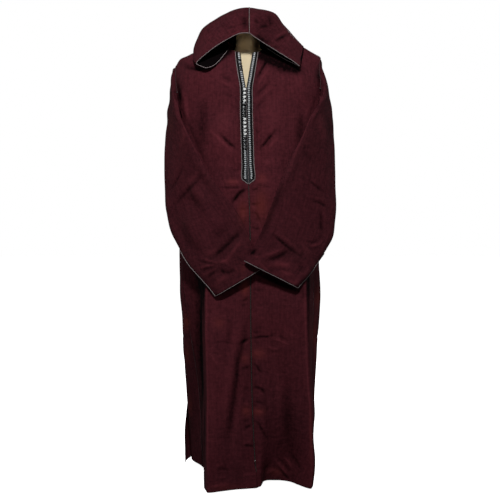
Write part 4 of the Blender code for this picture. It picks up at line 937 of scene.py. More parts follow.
RIGHT_SLEEVE_FOLDS = [
    ([(327, 72), (319.4, 92), (305, 129), (288, 174), (279, 196)], 1.3, 3),
    ([(288, 172), (280, 192), (274, 206), (267.5, 221), (260, 239), (252, 256)], -1.9, 12),
    ([(257.5, 247.6), (248.5, 255.4)], -2.4, 6),
    ([(269, 230.6), (280, 240.5), (290, 248.6), (298, 254.5), (307, 260)], -2.4, 4.5),
    ([(274, 230.6), (286, 240), (298, 248.6)], 0.9, 6),
    ([(262.5, 261.2), (273, 258.5), (281, 255), (294, 247.8)], -2.6, 4.5, 7),
    ([(260, 257.4), (272, 253.5), (287, 246.6)], 1.7, 5, 4),
    ([(252.6, 257.2), (260.4, 256.4)], 1.6, 4),
    ([(255, 259.4), (263, 266), (272, 274.4)], 1.2, 4),
    ([(259.6, 260.8), (267, 268), (274.6, 274)], -1.1, 3.5),
    ([(267, 265.4), (280, 264), (294, 266.3)], 1.7, 8, 7),
    ([(275, 269.2), (286, 273.5), (298, 276.5)], 1.3, 4),
    ([(270, 269.3), (280, 269.5), (291, 270.7)], -1.0, 3.5),
    ([(286.6, 279.2), (294, 283), (300.4, 280.6)], 1.3, 4),
    ([(296.4, 256.4), (300, 266), (303.6, 274.6)], -0.9, 6),
    ([(305.5, 177), (315.7, 185.5), (326, 194)], -2.0, 4),
    ([(303.2, 175), (312, 181), (319.4, 187.6)], 1.0, 3.5),
    ([(309.2, 201), (319.4, 202.5), (330, 209)], -2.0, 4),
    ([(310, 197.2), (320, 198.5), (328.6, 204)], 0.8, 4),
    ([(319, 207), (321.5, 217), (321, 225), (322.6, 235)], -1.7, 4.5),
    ([(323.6, 210), (326.4, 223)], 0.8, 5),
    ([(306.4, 245.1), (314, 245.6), (319.5, 244), (323.8, 237.4)], 1.8, 3.5),
    ([(305.6, 241.2), (313, 242.3), (320, 240)], -1.5, 3.5),
    ([(307.4, 249), (317.6, 249)], -1.0, 4),
    ([(292, 212.6), (297.5, 220.5), (303, 227.4)], 0.8, 4),
    ([(301, 142), (308, 156), (316, 168)], -0.6, 10),
    ([(325, 108), (329, 126), (331, 146)], -0.9, 8),
    ([(318, 110), (322, 128), (326, 146)], 0.9, 10, 9),
    ([(298, 238.4), (306, 250), (313, 257)], 0.7, 6),
]

# %% Folds of the hood
HOOD_FOLDS = [
    ([(292, 32.5), (284, 36.5), (273, 42.3)], -2.4, 3.5, 4),
    ([(289.4, 30.6), (281, 34), (272, 38.4)], 1.3, 4),
    ([(256.6, 28.4), (262, 27), (268.6, 25.9)], -1.5, 4),
    ([(255.7, 16.6), (257.8, 25.4)], -1.0, 6),
    ([(269.3, 15), (270.7, 28)], -1.1, 5),
    ([(263.8, 15.8), (265.2, 23.2)], 0.7, 4),
    ([(274.4, 44.7), (284, 43.5), (291.4, 47.8)], 0.9, 4),
    ([(270.4, 47), (281.6, 47)], -0.9, 4),
    ([(227.6, 28.5), (232, 27), (237.4, 27.6)], -1.3, 3.5, 3),
    ([(227.8, 30.4), (235.2, 29.2)], 0.8, 3),
    ([(246.4, 12.6), (245, 22), (244.3, 30.4)], -1.3, 8, 10),
    ([(251.4, 33), (262, 40), (273, 47.2)], -1.4, 9, 6),
    ([(284, 26), (288, 38), (291, 50)], 0.7, 7, 8),
]

# %% [markdown]
# ### The folds that it hides
# The back hangs from the shoulder blades in long soft folds that widen to the hem. Across it runs
# the same crease as in front, because the robe lay folded there. Each point gives millimetres across
# and millimetres above the floor.

# %% Folds of the back and the sides
BACK_FOLDS = [
    ([(-70, 1180), (-95, 900), (-120, 500), (-150, 20)], 5.0, 26, 30),
    ([(-20, 1120), (-30, 800), (-35, 400), (-40, 20)], -4.0, 24, 22),
    ([(60, 1170), (75, 850), (90, 450), (110, 20)], 4.5, 26, 28),
    ([(20, 1060), (28, 700), (34, 300), (36, 20)], 3.0, 22, 20),
    ([(120, 1120), (135, 800), (150, 400), (165, 20)], -3.5, 22, 24),
    ([(-120, 1100), (-140, 760), (-165, 380), (-185, 30)], -3.5, 22, 24),
    ([(-150, 478), (-70, 470), (10, 476), (90, 468), (160, 474)], -1.8, 5, 7),
    ([(-140, 462), (-60, 455), (30, 460), (110, 452)], 1.0, 7, 8),
    ([(-150, 1250), (-90, 1200), (-60, 1120)], -2.2, 9, 12),
    ([(150, 1250), (95, 1205), (66, 1130)], -2.2, 9, 12),
    ([(-110, 1340), (-60, 1318), (0, 1312), (60, 1318), (110, 1340)], -1.6, 9, 12),
    ([(-80, 1372), (0, 1352), (80, 1372)], 1.2, 8, 10),
    ([(-30, 250), (-60, 200), (-70, 140)], -1.4, 7, 8),
    ([(70, 320), (96, 260), (104, 190)], -1.4, 7, 8),
]
SIDE_FOLDS = [
    ([(-30, 1010), (-44, 700), (-52, 350), (-56, 40)], -3.0, 14, 16),
    ([(10, 1030), (14, 700), (20, 350), (26, 40)], 2.6, 16, 18),
    ([(50, 1000), (62, 700), (74, 350), (84, 40)], -2.6, 14, 16),
    ([(-60, 478), (0, 470), (70, 476)], -1.4, 5, 7),
    ([(-20, 905), (30, 880), (60, 840)], -1.4, 8, 9),
]

# %% [markdown]
# ### Shaping the panels
# Every point moves out by its folds and waves, less where a seam holds the cloth. The same rise is
# painted into the colour: a crest gets a painted highlight and a hollow a painted shade, because wool
# has finer creases than a panel can hold. Painted lights and shades that no fold makes are soft spots
# and lines on top of that.

# %% Where the cloth is held


def soft_step(value, low, high):
    """0 below low, 1 above high, smooth between."""
    share = np.clip((value - low) / (high - low), 0, 1)
    return share * share * (3 - 2 * share)


def calm_near_seams(points):
    """0 at the neckline and the armholes, where the cloth is held, and 1 away from them."""
    x, z = np.abs(points[..., 0]), points[..., 2]
    neck = np.clip((1.385 - z) / 0.045, 0, 1)
    arm = np.clip((0.232 - x) / 0.030, 0, 1)
    high = np.clip((z - 1.05) / 0.06, 0, 1)
    return neck * (1 - high * (1 - arm))


def calm_at_ends(points):
    """0 at the first and last rows, where a sleeve is sewn in and hemmed."""
    down = lengths_along(points)
    ends = np.clip(np.minimum(down, down[-1] - down) / 0.03, 0, 1)
    return np.repeat(ends[:, None], points.shape[1], axis=1)


# %% Hems and seams
HEM_WIDE = 0.044
HEM_RAISE = 0.0007
HEM_GROOVE = 0.0006
SEAM_DEEP = 0.0009
SEAM_NEAR = 0.0032


def turned_hem(points):
    """The hem is turned up, so the cloth is thicker there, and its stitches pull a shallow groove."""
    down = lengths_along(points)
    above = np.repeat((down[-1] - down)[:, None], points.shape[1], axis=1)
    double = HEM_RAISE * (1 - soft_step(above, HEM_WIDE - 0.002, HEM_WIDE + 0.004))
    return double - HEM_GROOVE * np.exp(-((above - HEM_WIDE + 0.004) / 0.0035) ** 2)


def seam_valleys(points):
    """A sewn edge turns down into its seam."""
    near = lengths_across(points)
    near = np.minimum(near, near[:, -1:] - near)
    return -SEAM_DEEP * np.exp(-(near / SEAM_NEAR) ** 2)


# %% Towards the photographed outline
# each nudge: its middle and half sizes in pixels, then millimetres to the right and up
NUDGES = (
    (204, 29, 9, 9, -9.0, 4.5), (194, 48, 7, 12, -5.0, 0.0), (181, 60, 7, 5, -5.0, 5.0),
    (241, 36, 9, 6, 0.0, 6.0), (275, 13, 9, 7, 9.0, 7.0), (302, 43, 7, 8, 9.0, 5.0),
    (321, 61, 6, 6, 3.0, 5.0), (325, 67, 8, 14, -8.0, -1.0), (304, 63, 6, 9, -9.0, 1.0),
    (237, 68, 7, 20, -4.6, 0.0), (168, 92, 10, 26, 5.5, 0.0), (165, 138, 10, 24, 3.5, 0.0),
    (168, 210, 9, 34, -3.6, 0.0), (332, 105, 8, 22, -1.5, 0.0), (332, 122, 8, 14, 3.5, 0.0),
    (336, 170, 8, 34, -2.5, 0.0), (331, 236, 8, 9, 4.0, 0.0), (256, 8, 12, 6, 0.0, -3.0),
    (319, 268, 6, 22, -4.5, 0.0), (181, 292, 6, 12, -2.5, 0.0), (182, 324, 5, 14, 3.0, 0.0),
    (184, 355, 8, 50, -4.0, 0.0), (183, 354, 5, 14, -3.0, 0.0), (185, 424, 6, 22, -3.0, 0.0),
    (313, 416, 6, 14, 5.0, 0.0), (313, 466, 6, 18, 5.5, 0.0), (198, 467, 9, 12, 0.0, 10.0),
    (194, 461, 4.5, 7, 0.0, 8.0), (204, 380, 9, 70, 5.5, 0.0), (204, 485, 9, 30, 6.0, -3.0),
    (232, 488, 36, 10, 0.0, -3.0), (266, 483, 8, 8, 0.0, 4.0), (286, 484, 14, 8, 0.0, 2.0),
    (310, 487, 8, 8, 0.0, -3.0),
)


def spot_shape(right, up, px, py, wide, tall):
    """How strongly each point belongs to a soft spot in the photograph: 1 at its middle."""
    far = ((right / MM_PER_PIXEL - px) / wide) ** 2 + ((-up / MM_PER_PIXEL - py) / tall) ** 2
    return np.exp(-far)


def nudged(points):
    """The points moved by a few millimetres, in the picture's plane, towards the photographed outline."""
    right, up = in_picture(points)
    moved = points.copy()
    for px, py, wide, tall, to_right, to_top in NUDGES:
        share = spot_shape(right, up, px, py, wide, tall)
        moved[..., 0] += share * to_right / 1000
        moved[..., 2] += share * to_top / 1000
    return moved


def relaxed(points, times):
    """The points with their lines across smoothed; both ends stay."""
    points = points.copy()
    for _ in range(times):
        points[:, 1:-1] = (points[:, :-2] + 2 * points[:, 1:-1] + points[:, 2:]) / 4
    return points


# %% Lights and shades
# a fold this high is painted as pale as a painted highlight gets; the broad folds of the back and the
# sides take their light and shade nearly from the lamps alone, with only a little of it painted
FOLD_PAINT_HEIGHT = 0.0030
FOLD_PAINT_SHARE = {"back": 0.22, "gore": 0.18}

# places that are rubbed warm: middle and half sizes in pixels, and how much
RUBBED = ((243, 212, 5, 12, 0.7), (261, 205, 7, 14, 0.7), (245, 287, 4, 8, 1.0), (186, 323, 3, 7, 0.9),
          (188, 355, 2.5, 9, 0.7), (318, 297, 2.5, 10, 0.9), (314, 335, 3, 14, 0.7), (219, 323, 5, 5, 0.4),
          (258, 354, 7, 5, 0.6), (245, 359, 4, 5, 0.5), (258, 412, 6, 4, 0.7), (246, 411, 4, 5, 0.6),
          (275, 472, 6, 4, 0.6), (262, 178, 5, 5, 0.4), (233, 182, 6, 3, 0.4), (243, 269, 3, 4, 0.5),
          (171, 124, 2, 9, 0.5), (190, 405, 2, 10, 0.5), (311, 430, 1.5, 30, 0.5), (227, 487, 18, 3, 0.3))

# broad lights and shades on the cloth: middle and half sizes in pixels, and how light or deep
BODY_SPOTS = (
    (259, 51, 6, 5.5, -1.2), (266, 55, 6, 6, -1.3), (274, 59, 6, 6, -1.4), (282, 63, 6, 6, -1.4),
    (290, 67, 6, 5, -1.3), (297, 70, 5, 4, -1.0), (222, 166, 14, 14, -0.15), (230, 480, 25, 10, -0.12),
    (280, 340, 18, 50, -0.12), (250, 400, 9, 60, -0.1), (228, 49, 6, 6, -1.1), (220, 54, 6, 5, -0.7),
    (258, 53, 3, 6, -0.9), (243, 393, 4, 60, -0.1), (224, 119, 9, 14, 0.42), (272, 114, 10, 16, 0.36),
    (299, 80, 8, 8, 0.30), (201, 124, 6, 22, -0.25), (202, 143, 5, 8, -0.25), (179.5, 95, 2.5, 14, -0.5),
    (175, 74, 2.5, 8, -0.3), (302, 130, 5, 20, -0.2), (319, 77, 3, 10, -0.4), (238.4, 130, 1.2, 45, -0.3),
    (256.6, 140, 1.2, 45, -0.25), (233, 182, 7, 3, 0.35), (263, 178, 7, 6, 0.25), (219, 323, 6, 6, 0.3),
    (216, 310, 9, 24, 0.22), (222, 360, 8, 18, 0.15), (245, 287, 5, 6, 0.3), (258, 354, 7, 5, 0.3),
    (245, 358, 4, 4, 0.25), (258, 412, 6, 4, 0.35), (246, 411, 3.5, 5, 0.3), (288, 412, 5, 40, -0.12),
    (290, 432, 16, 34, -0.25), (222, 485.5, 8, 2, 0.3), (275, 472, 5, 3, 0.35), (226, 466, 16, 10, -0.2),
    (202, 284, 4, 8, -0.9), (307.5, 284, 3, 10, -0.9), (192, 330, 8, 50, -0.25), (194, 420, 9, 50, -0.25),
    (188, 434, 2.6, 16, -1.0),
)
SLEEVE_SPOTS = (
    (176, 150, 10, 40, 0.3), (302, 190, 16, 30, -0.12), (198, 197, 4, 5, 0.35), (193, 192, 4, 4, 0.2),
    (221, 230, 8, 7, -0.2), (211, 253, 5, 3.5, 0.3), (225, 261.4, 4, 2.5, 0.4), (222, 271.4, 5, 3, -0.3),
    (223, 278, 6, 3.5, 0.25), (281, 265, 9, 4, 0.35), (286, 274, 7, 2.5, 0.3), (252.5, 252, 3.5, 3, -0.7),
    (321, 228, 2, 8, -0.3), (275, 240, 12, 8, -0.15),
)
HOOD_SPOTS = (
    (250, 24, 80, 40, -0.22), (266, 23, 9, 9, -0.42), (262, 38, 10, 7, -0.35), (280, 45, 12, 9, -0.2),
    (245, 22, 4, 8, -0.3), (214, 36, 13, 8, 0.12),
)
# shadows where one layer lies close over the next: a line, how deep, and two widths in millimetres
BODY_SHADES = [
    ([(245, 46), (262, 57), (274, 62), (288, 67), (306, 73.5)], -1.0, 40, 6),
    ([(240, 46), (262, 60), (274, 65), (286, 69.5), (300, 75), (312, 80)], -0.4, 14, 12),
    ([(238, 44), (220, 61), (209, 67.5), (198, 70), (188, 68), (176, 60)], -1.3, 5, 10),
    ([(201.5, 200), (201.5, 262), (201.5, 345), (202.4, 400), (202.9, 475), (203, 560)], -0.9, 4.5, 4.5),
    ([(244, 266), (258, 273.5), (270, 279.5), (284, 286), (303, 293), (312, 297)], -1.4, 14, 6),
    ([(257, 274.4), (240, 283.5), (229, 289), (213, 298)], -0.85, 5, 6),
    ([(178, 248), (194, 268.5), (203, 283), (217, 299)], -1.0, 5, 8),
    ([(168, 80), (179, 104), (189, 126), (199, 149), (216, 185)], -0.5, 9, 3),
    ([(330, 62), (318.5, 92), (304, 130), (287, 174), (276, 200)], -0.35, 3, 9),
]


def spots_at(points, spots):
    """The sum of soft spots, each drawn where it shows in the photograph."""
    right, up = in_picture(points)
    found = np.zeros(right.shape)
    for px, py, wide, tall, much in spots:
        found += much * spot_shape(right, up, px, py, wide, tall)
    return found


# %% Shaping one panel
STEPS = {"front": 0.0037, "back": 0.0060, "gore": 0.0050, "sleeve": 0.0040, "hood": 0.0038}
FOLD_DEPTH = 1.2
# slow waves of the whole cloth: their size and height, and a number that picks their pattern
WAVES = ((0.075, 0.0032, 1.0), (0.026, 0.0008, 5.0))


def mostly_inward(points, normals):
    """Whether the directions of a ring of cloth point at its own middle."""
    return float(((points - points.mean(axis=1, keepdims=True)) * normals).sum(axis=2).mean()) < 0


def shaped(name, folds, hold, spots=(), shades=()):
    """A fine panel with its folds, waves, hem and seams, and its painted light, shade and rust."""
    kind = name.split("_")[0]
    closed = kind == "sleeve"
    points = nudged(finer(grids[name], STEPS[kind], closed))
    if kind == "hood":
        points = relaxed(points, 12)
    normals = normals_of(points, closed)
    if closed and mostly_inward(points, normals):
        points = points[:, ::-1]
        normals = normals_of(points, closed)
        points = points + normals * CLOTH_THICK
    rise = folds_at(points, normals, *folds) * FOLD_DEPTH
    # spots and shades were seen from the front, so they lie only on cloth that faces it
    facing = np.clip(-normals[..., 1] * 4, 0, 1)
    tone = spots_at(points, spots)
    for line, deep, near, far in shades:
        tone += deep * fold_shape(*in_picture(points), from_picture(line), near, far)
    # painted highlight on crests, painted shade in hollows, and painted spots and shadows where the cloth
    # faces the front
    painted_light_and_shade_by_panel[name] = np.clip(rise / FOLD_PAINT_HEIGHT * FOLD_PAINT_SHARE.get(kind, 1.0) + tone * facing, DEEPEST, 1)
    rusts[name] = np.clip(spots_at(points, RUBBED), 0, 1) * facing
    for size, height, seed in WAVES:
        rise = rise + waves_at(points, size, height, seed)
    rise = rise * hold(points)
    if kind in ("front", "back", "gore"):
        rise = rise + turned_hem(points)
    if not closed:
        rise = rise + seam_valleys(points)
    return points + normals * rise[..., None]


# %% The nine panels
FRONT = (0.0, -1.0, 0.0)
panels = {}
painted_light_and_shade_by_panel = {}
rusts = {}
for name in ("front_left", "front_right"):
    panels[name] = shaped(name, (CHEST_FOLDS + SKIRT_FOLDS, in_picture, FRONT), calm_near_seams,
                          BODY_SPOTS, BODY_SHADES)
for name, side in (("gore_left", -1), ("gore_right", 1)):
    panels[name] = shaped(name, (SIDE_FOLDS, seen_level(90), (side, 0.0, 0.0)), calm_near_seams,
                          BODY_SPOTS, BODY_SHADES)
panels["back"] = shaped("back", (BACK_FOLDS, seen_level(180), (0.0, 1.0, 0.0)), calm_near_seams)
for name, folds in (("sleeve_left", LEFT_SLEEVE_FOLDS), ("sleeve_right", RIGHT_SLEEVE_FOLDS)):
    panels[name] = shaped(name, (folds, in_picture, FRONT), calm_at_ends, SLEEVE_SPOTS)
for name in ("hood_left", "hood_right"):
    panels[name] = shaped(name, (HOOD_FOLDS, in_picture, FRONT), calm_at_ends, HOOD_SPOTS)
for name, points in panels.items():
    print(name, "fine grid", points.shape[:2], "metres down", round(float(lengths_along(points)[-1]), 3))

# %% [markdown]
# ### Closing the armholes and the hem
# In the CAD model the sleeves stand a few millimetres away from the body. Sewn cloth has no gap, so
# the first ring of each sleeve is pulled onto the armhole, a little under the edge of the body. The
# left front also reaches over the right one at the foot of the centre seam.

# %% Sleeves set in
SIDES = ((-1, "left"), (1, "right"))
SET_IN_REACH = 0.013
SET_IN_FADE = 0.018
UNDER_EDGE = 0.0016


def denser(line, times):
    """A line of points with more points on it."""
    keys = np.linspace(0, len(line) - 1, times * len(line))
    return np.array([np.interp(keys, np.arange(len(line)), line[:, k]) for k in range(3)]).T


def set_in(points, edge):
    """A sleeve with its first ring pulled onto the armhole, less and less down the sleeve."""
    ring = points[0]
    near = np.array([edge[int(np.argmin(((edge - place) ** 2).sum(1)))] for place in ring])
    pull = near - ring
    size = np.linalg.norm(pull, axis=1, keepdims=True)
    pull = pull * (1 + UNDER_EDGE / np.maximum(size, 0.0005))
    pull = pull * (1 - soft_step(size, SET_IN_REACH * 0.7, SET_IN_REACH))
    for _ in range(3):
        pull = (np.roll(pull, 1, axis=0) + 2 * pull + np.roll(pull, -1, axis=0)) / 4
    fade = np.exp(-(lengths_along(points) / SET_IN_FADE) ** 2)
    print("sleeve pulled by up to", round(float(np.linalg.norm(pull, axis=1).max()) * 1000, 1), "mm")
    return points + fade[:, None, None] * pull[None]


for side, word in SIDES:
    front_edge = panels[f"front_{word}"][:, 0 if side < 0 else -1]
    back = panels["back"]
    back_edge = back[:, 0] if back[:, 0, 0].mean() * side > 0 else back[:, -1]
    edge = np.concatenate([denser(front_edge, 6), denser(back_edge, 6)])
    panels[f"sleeve_{word}"] = set_in(panels[f"sleeve_{word}"], edge)

# %% The left front over the right one at the hem
OVERLAP = 0.0050
OVERLAP_OUT = 0.0016
OVERLAP_WIDE = 0.010
OVERLAP_TOP = 0.085
OVERLAP_FADE = 0.03
left_front = panels["front_left"]
low = soft_step(OVERLAP_TOP - left_front[..., 2], 0.0, OVERLAP_FADE)
from_edge = np.linalg.norm(left_front - left_front[:, -1:], axis=2)
reach = low * np.exp(-(from_edge / OVERLAP_WIDE) ** 2)
left_front[..., 0] += OVERLAP * reach
left_front[..., 1] -= OVERLAP_OUT * reach
print("left front moved over by up to", round(float(reach.max()) * OVERLAP * 1000, 1), "mm")

# %% The pieces of the robe
for name, points in panels.items():
    closed = name.startswith("sleeve")
    straight = {"front_left": points.shape[1] - 1, "front_right": 0}.get(name, points.shape[1] // 2)
    # the darker sleeve cloth is painted shade
    material = sleeve_burgundy_shaded if closed else burgundy
    cloth_piece(f"{name}_cloth", points, straight, closed, material, painted_light_and_shade_by_panel[name],
                               rusts[name])
    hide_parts(name)

# %% [markdown]
# ## Sewing
# Three small geometry trees do all the sewing. One turns a line into a twisted cord. One lays a
# small unit along a line again and again, for braids, beads and stitches. One sets a unit at single
# places, for the knots.

# %% Starting and running a tree


def start_tree(name, sockets):
    """A geometry tree with its named inputs; returns the tree and its input node."""
    tree = bpy.data.node_groups.new(name, "GeometryNodeTree")
    tree.interface.new_socket("Geometry", in_out="INPUT", socket_type="NodeSocketGeometry")
    for label, kind in sockets.items():
        tree.interface.new_socket(label, in_out="INPUT", socket_type=f"NodeSocket{kind}")
    tree.interface.new_socket("Geometry", in_out="OUTPUT", socket_type="NodeSocketGeometry")
    return tree, add(tree, "NodeGroupInput")


def end_tree(tree, start, made):
    """Makes the instances real, gives them their material and ends the tree."""
    real = add(tree, "GeometryNodeRealizeInstances", {"Geometry": made})
    shaded = add(tree, "GeometryNodeSetMaterial", {"Geometry": real, "Material": start.outputs["Material"]})
    add(tree, "NodeGroupOutput", {"Geometry": shaded})


def grown(name, path, tree, values):
    """The mesh that a tree makes from a path, as a finished piece."""
    steps = np.diff([v.co for v in path.vertices], axis=0)
    long = float(np.linalg.norm(steps, axis=1).sum())
    made = placed(name, path)
    modifier = made.modifiers.new(tree.name, "NODES")
    modifier.node_group = tree
    inputs = {item.name: item.identifier for item in tree.interface.items_tree if item.in_out == "INPUT"}
    for label, value in values.items():
        modifier[inputs[label]] = value
    plain_copy(made)
    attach(made, "root")
    print(name, "faces", len(made.data.polygons), "length", round(long, 3), "m")
    return made


def even_line(tree, start, step):
    """The path as a curve, with its points one step apart."""
    line = add(tree, "GeometryNodeMeshToCurve", {"Mesh": start.outputs["Geometry"]})
    return add(tree, "GeometryNodeResampleCurve", {"Curve": line, "Length": start.outputs[step]},
               mode="LENGTH")


def laid_units(tree, start, points, along):
    """The unit on every point, with its Z out of the cloth and its X along a direction."""
    out = add(tree, "GeometryNodeInputNamedAttribute", {"Name": "out"}, data_type="FLOAT_VECTOR")
    stance = add(tree, "FunctionNodeAxesToRotation", {"Primary Axis": out, "Secondary Axis": along},
                 primary_axis="Z", secondary_axis="X")
    unit = add(tree, "GeometryNodeObjectInfo", {"Object": start.outputs["Unit"]})
    return add(tree, "GeometryNodeInstanceOnPoints",
               {"Points": points, "Instance": unit.outputs["Geometry"], "Rotation": stance})


# %% A path that a tree can follow


def with_ways(mesh, **ways):
    """The mesh with directions at its points, each kind under its name."""
    for label, values in ways.items():
        kept = mesh.attributes.new(label, "FLOAT_VECTOR", "POINT")
        kept.data.foreach_set("vector", np.asarray(values, np.float32).ravel())
    return mesh


def path_mesh(points, outs, cyclic=False):
    """A line of points that remembers which way is out of the cloth."""
    mesh = bpy.data.meshes.new("path")
    links = [(i, i + 1) for i in range(len(points) - 1)]
    if cyclic:
        links.append((len(points) - 1, 0))
    mesh.from_pydata(np.asarray(points).tolist(), links, [])
    return with_ways(mesh, out=outs)


# %% [markdown]
# ### Twisted cord
# A piping is a cord of three strands laid round each other. The line gets a tilt that grows with
# its length, and a round profile with three grooves follows it.

# %% The cord tree
# in radii of the cord: how far a strand runs while it goes once round, and the step of the line
LAY_RADII = 7.0
STEP_RADII = 0.9
cord_tree, start = start_tree("twisted_cord", {"Radius": "Float", "Strands": "Int", "Lay": "Float",
                                               "Step": "Float", "Material": "Material"})
even = even_line(cord_tree, start, "Step")
length = add(cord_tree, "GeometryNodeSplineParameter")
turns = add(cord_tree, "ShaderNodeMath", {0: length.outputs["Length"], 1: start.outputs["Lay"]},
            operation="DIVIDE")
tilt = add(cord_tree, "ShaderNodeMath", {0: turns, 1: 2 * math.pi}, operation="MULTIPLY")
laid = add(cord_tree, "GeometryNodeSetCurveTilt", {"Curve": even, "Tilt": tilt})
corners = add(cord_tree, "ShaderNodeMath", {0: start.outputs["Strands"], 1: 4.0}, operation="MULTIPLY")
circle = add(cord_tree, "GeometryNodeCurvePrimitiveCircle",
             {"Resolution": corners, "Radius": start.outputs["Radius"]})
number = add(cord_tree, "GeometryNodeInputIndex")
groove = add(cord_tree, "ShaderNodeMath", {0: number, 1: 4.0}, operation="MODULO")
in_groove = add(cord_tree, "ShaderNodeMath", {0: groove, 1: 0.5}, operation="LESS_THAN")
place = add(cord_tree, "GeometryNodeInputPosition")
sunk = add(cord_tree, "ShaderNodeVectorMath", {0: place, "Scale": 0.66}, operation="SCALE")
profile = add(cord_tree, "GeometryNodeSetPosition",
              {"Geometry": circle, "Selection": in_groove, "Position": sunk})
body = add(cord_tree, "GeometryNodeCurveToMesh",
           {"Curve": laid, "Profile Curve": profile, "Fill Caps": True})
soft = add(cord_tree, "GeometryNodeSetShadeSmooth", {"Geometry": body})
end_tree(cord_tree, start, soft)


def cord(name, points, outs, radius, material, slot, cyclic=False):
    """A twisted cord along a line, with a whole number of turns."""
    total = float(np.linalg.norm(np.diff(points, axis=0), axis=1).sum())
    lay = total / max(1, round(total / (radius * LAY_RADII)))
    sizes = {"Radius": radius, "Strands": 3, "Lay": lay, "Step": radius * STEP_RADII}
    return grown(name, path_mesh(points, outs, cyclic), cord_tree, {**sizes, "Material": material})


# %% [markdown]
# ### Sewn rows
# Stitches, beads and the strands of a braid are one small unit laid again and again. Every other
# unit can lean the other way and step to the other side, which makes a plait out of one strand.

# %% The row tree
row_tree, start = start_tree("sewn_row", {"Unit": "Object", "Pitch": "Float", "Lean": "Float",
                                          "Side step": "Float", "Material": "Material"})
even = even_line(row_tree, start, "Pitch")
laid = laid_units(row_tree, start, even, add(row_tree, "GeometryNodeInputTangent"))
number = add(row_tree, "GeometryNodeInputIndex")
odd = add(row_tree, "ShaderNodeMath", {0: number, 1: 2.0}, operation="MODULO")
sign = add(row_tree, "ShaderNodeMath", {0: odd, 1: 2.0, 2: -1.0}, operation="MULTIPLY_ADD")
step = add(row_tree, "ShaderNodeMath", {0: sign, 1: start.outputs["Side step"]}, operation="MULTIPLY")
offset = add(row_tree, "ShaderNodeCombineXYZ", {"Y": step})
moved = add(row_tree, "GeometryNodeTranslateInstances",
            {"Instances": laid, "Translation": offset, "Local Space": True})
lean = add(row_tree, "ShaderNodeMath", {0: sign, 1: start.outputs["Lean"]}, operation="MULTIPLY")
angles = add(row_tree, "ShaderNodeCombineXYZ", {"Z": lean})
leaning = add(row_tree, "GeometryNodeRotateInstances",
              {"Instances": moved, "Rotation": angles, "Local Space": True})
end_tree(row_tree, start, leaning)

# %% The tree for single places
place_tree, start = start_tree("set_at_places", {"Unit": "Object", "Material": "Material"})
spots = add(place_tree, "GeometryNodeMeshToPoints", {"Mesh": start.outputs["Geometry"]})
across = add(place_tree, "GeometryNodeInputNamedAttribute", {"Name": "across"}, data_type="FLOAT_VECTOR")
end_tree(place_tree, start, laid_units(place_tree, start, spots, across))
print("trees:", [group.name for group in (cord_tree, row_tree, place_tree)])

# %% [markdown]
# ### Units
# Every unit is made of short threads, each a small tube along a few points. The unit lies at the
# origin: X along the line it will be laid on, Z out of the cloth.

# %% Threads


def thread(points, radius, sides, closed=False):
    """Corners and faces of a tube along a line; an open tube is narrower at its ends."""
    points = np.asarray(points, float)
    count = len(points)
    if closed:
        run = np.roll(points, -1, axis=0) - np.roll(points, 1, axis=0)
    else:
        run = np.gradient(points, axis=0)
    run /= np.linalg.norm(run, axis=1, keepdims=True)
    side = np.cross(run[0], (0.3, 0.2, 1.0))
    corners = []
    for i, (point, way) in enumerate(zip(points, run)):
        side = side - way * np.dot(side, way)
        side /= np.linalg.norm(side)
        other = np.cross(way, side)
        size = radius * (0.6 if not closed and i in (0, count - 1) else 1.0)
        for k in range(sides):
            turn = 2 * math.pi * k / sides
            corners.append(point + (side * math.cos(turn) + other * math.sin(turn)) * size)
    faces = []
    for i in range(count if closed else count - 1):
        j = (i + 1) % count
        for k in range(sides):
            m = (k + 1) % sides
            faces.append((i * sides + k, i * sides + m, j * sides + m, j * sides + k))
    if not closed:
        faces.append(tuple(range(sides))[::-1])
        faces.append(tuple((count - 1) * sides + k for k in range(sides)))
    return corners, faces


def unit_of(name, threads):
    """An object of several threads that the trees lay; it is removed after the sewing."""
    corners, faces = [], []
    for more, cells in threads:
        base = len(corners)
        corners += [tuple(c) for c in more]
        faces += [tuple(base + k for k in cell) for cell in cells]
    mesh = bpy.data.meshes.new(name)
    mesh.from_pydata(corners, [], faces)
    mesh.polygons.foreach_set("use_smooth", [True] * len(faces))
    return placed(name, mesh)


def arch(half, tall, where=0.0, across=False, count=6):
    """Points of a thread that comes out of the cloth, arches over it and goes back in."""
    line = []
    for share in np.linspace(-1, 1, count):
        low = tall * (1 - share * share) ** 0.7 if abs(share) < 1 else -0.0003
        line.append((where, share * half, low) if across else (share * half, where, low))
    return line


# %% The units themselves
stitch_unit = unit_of("stitch_unit", [thread(arch(0.0013, 0.00022, count=5), 0.00026, 5)])
fine_plait_unit = unit_of("fine_plait_unit", [thread(arch(0.0017, 0.0005, count=5), 0.00046, 5)])

BEAD_ROWS = ((-0.0012, 0.0029, 0.0014), (0.0, 0.0036, 0.0020), (0.0012, 0.0029, 0.0014))
bead_unit = unit_of("bead_unit", [thread(arch(half, tall, where, across=True), 0.00078, 6)
                                  for where, half, tall in BEAD_ROWS])

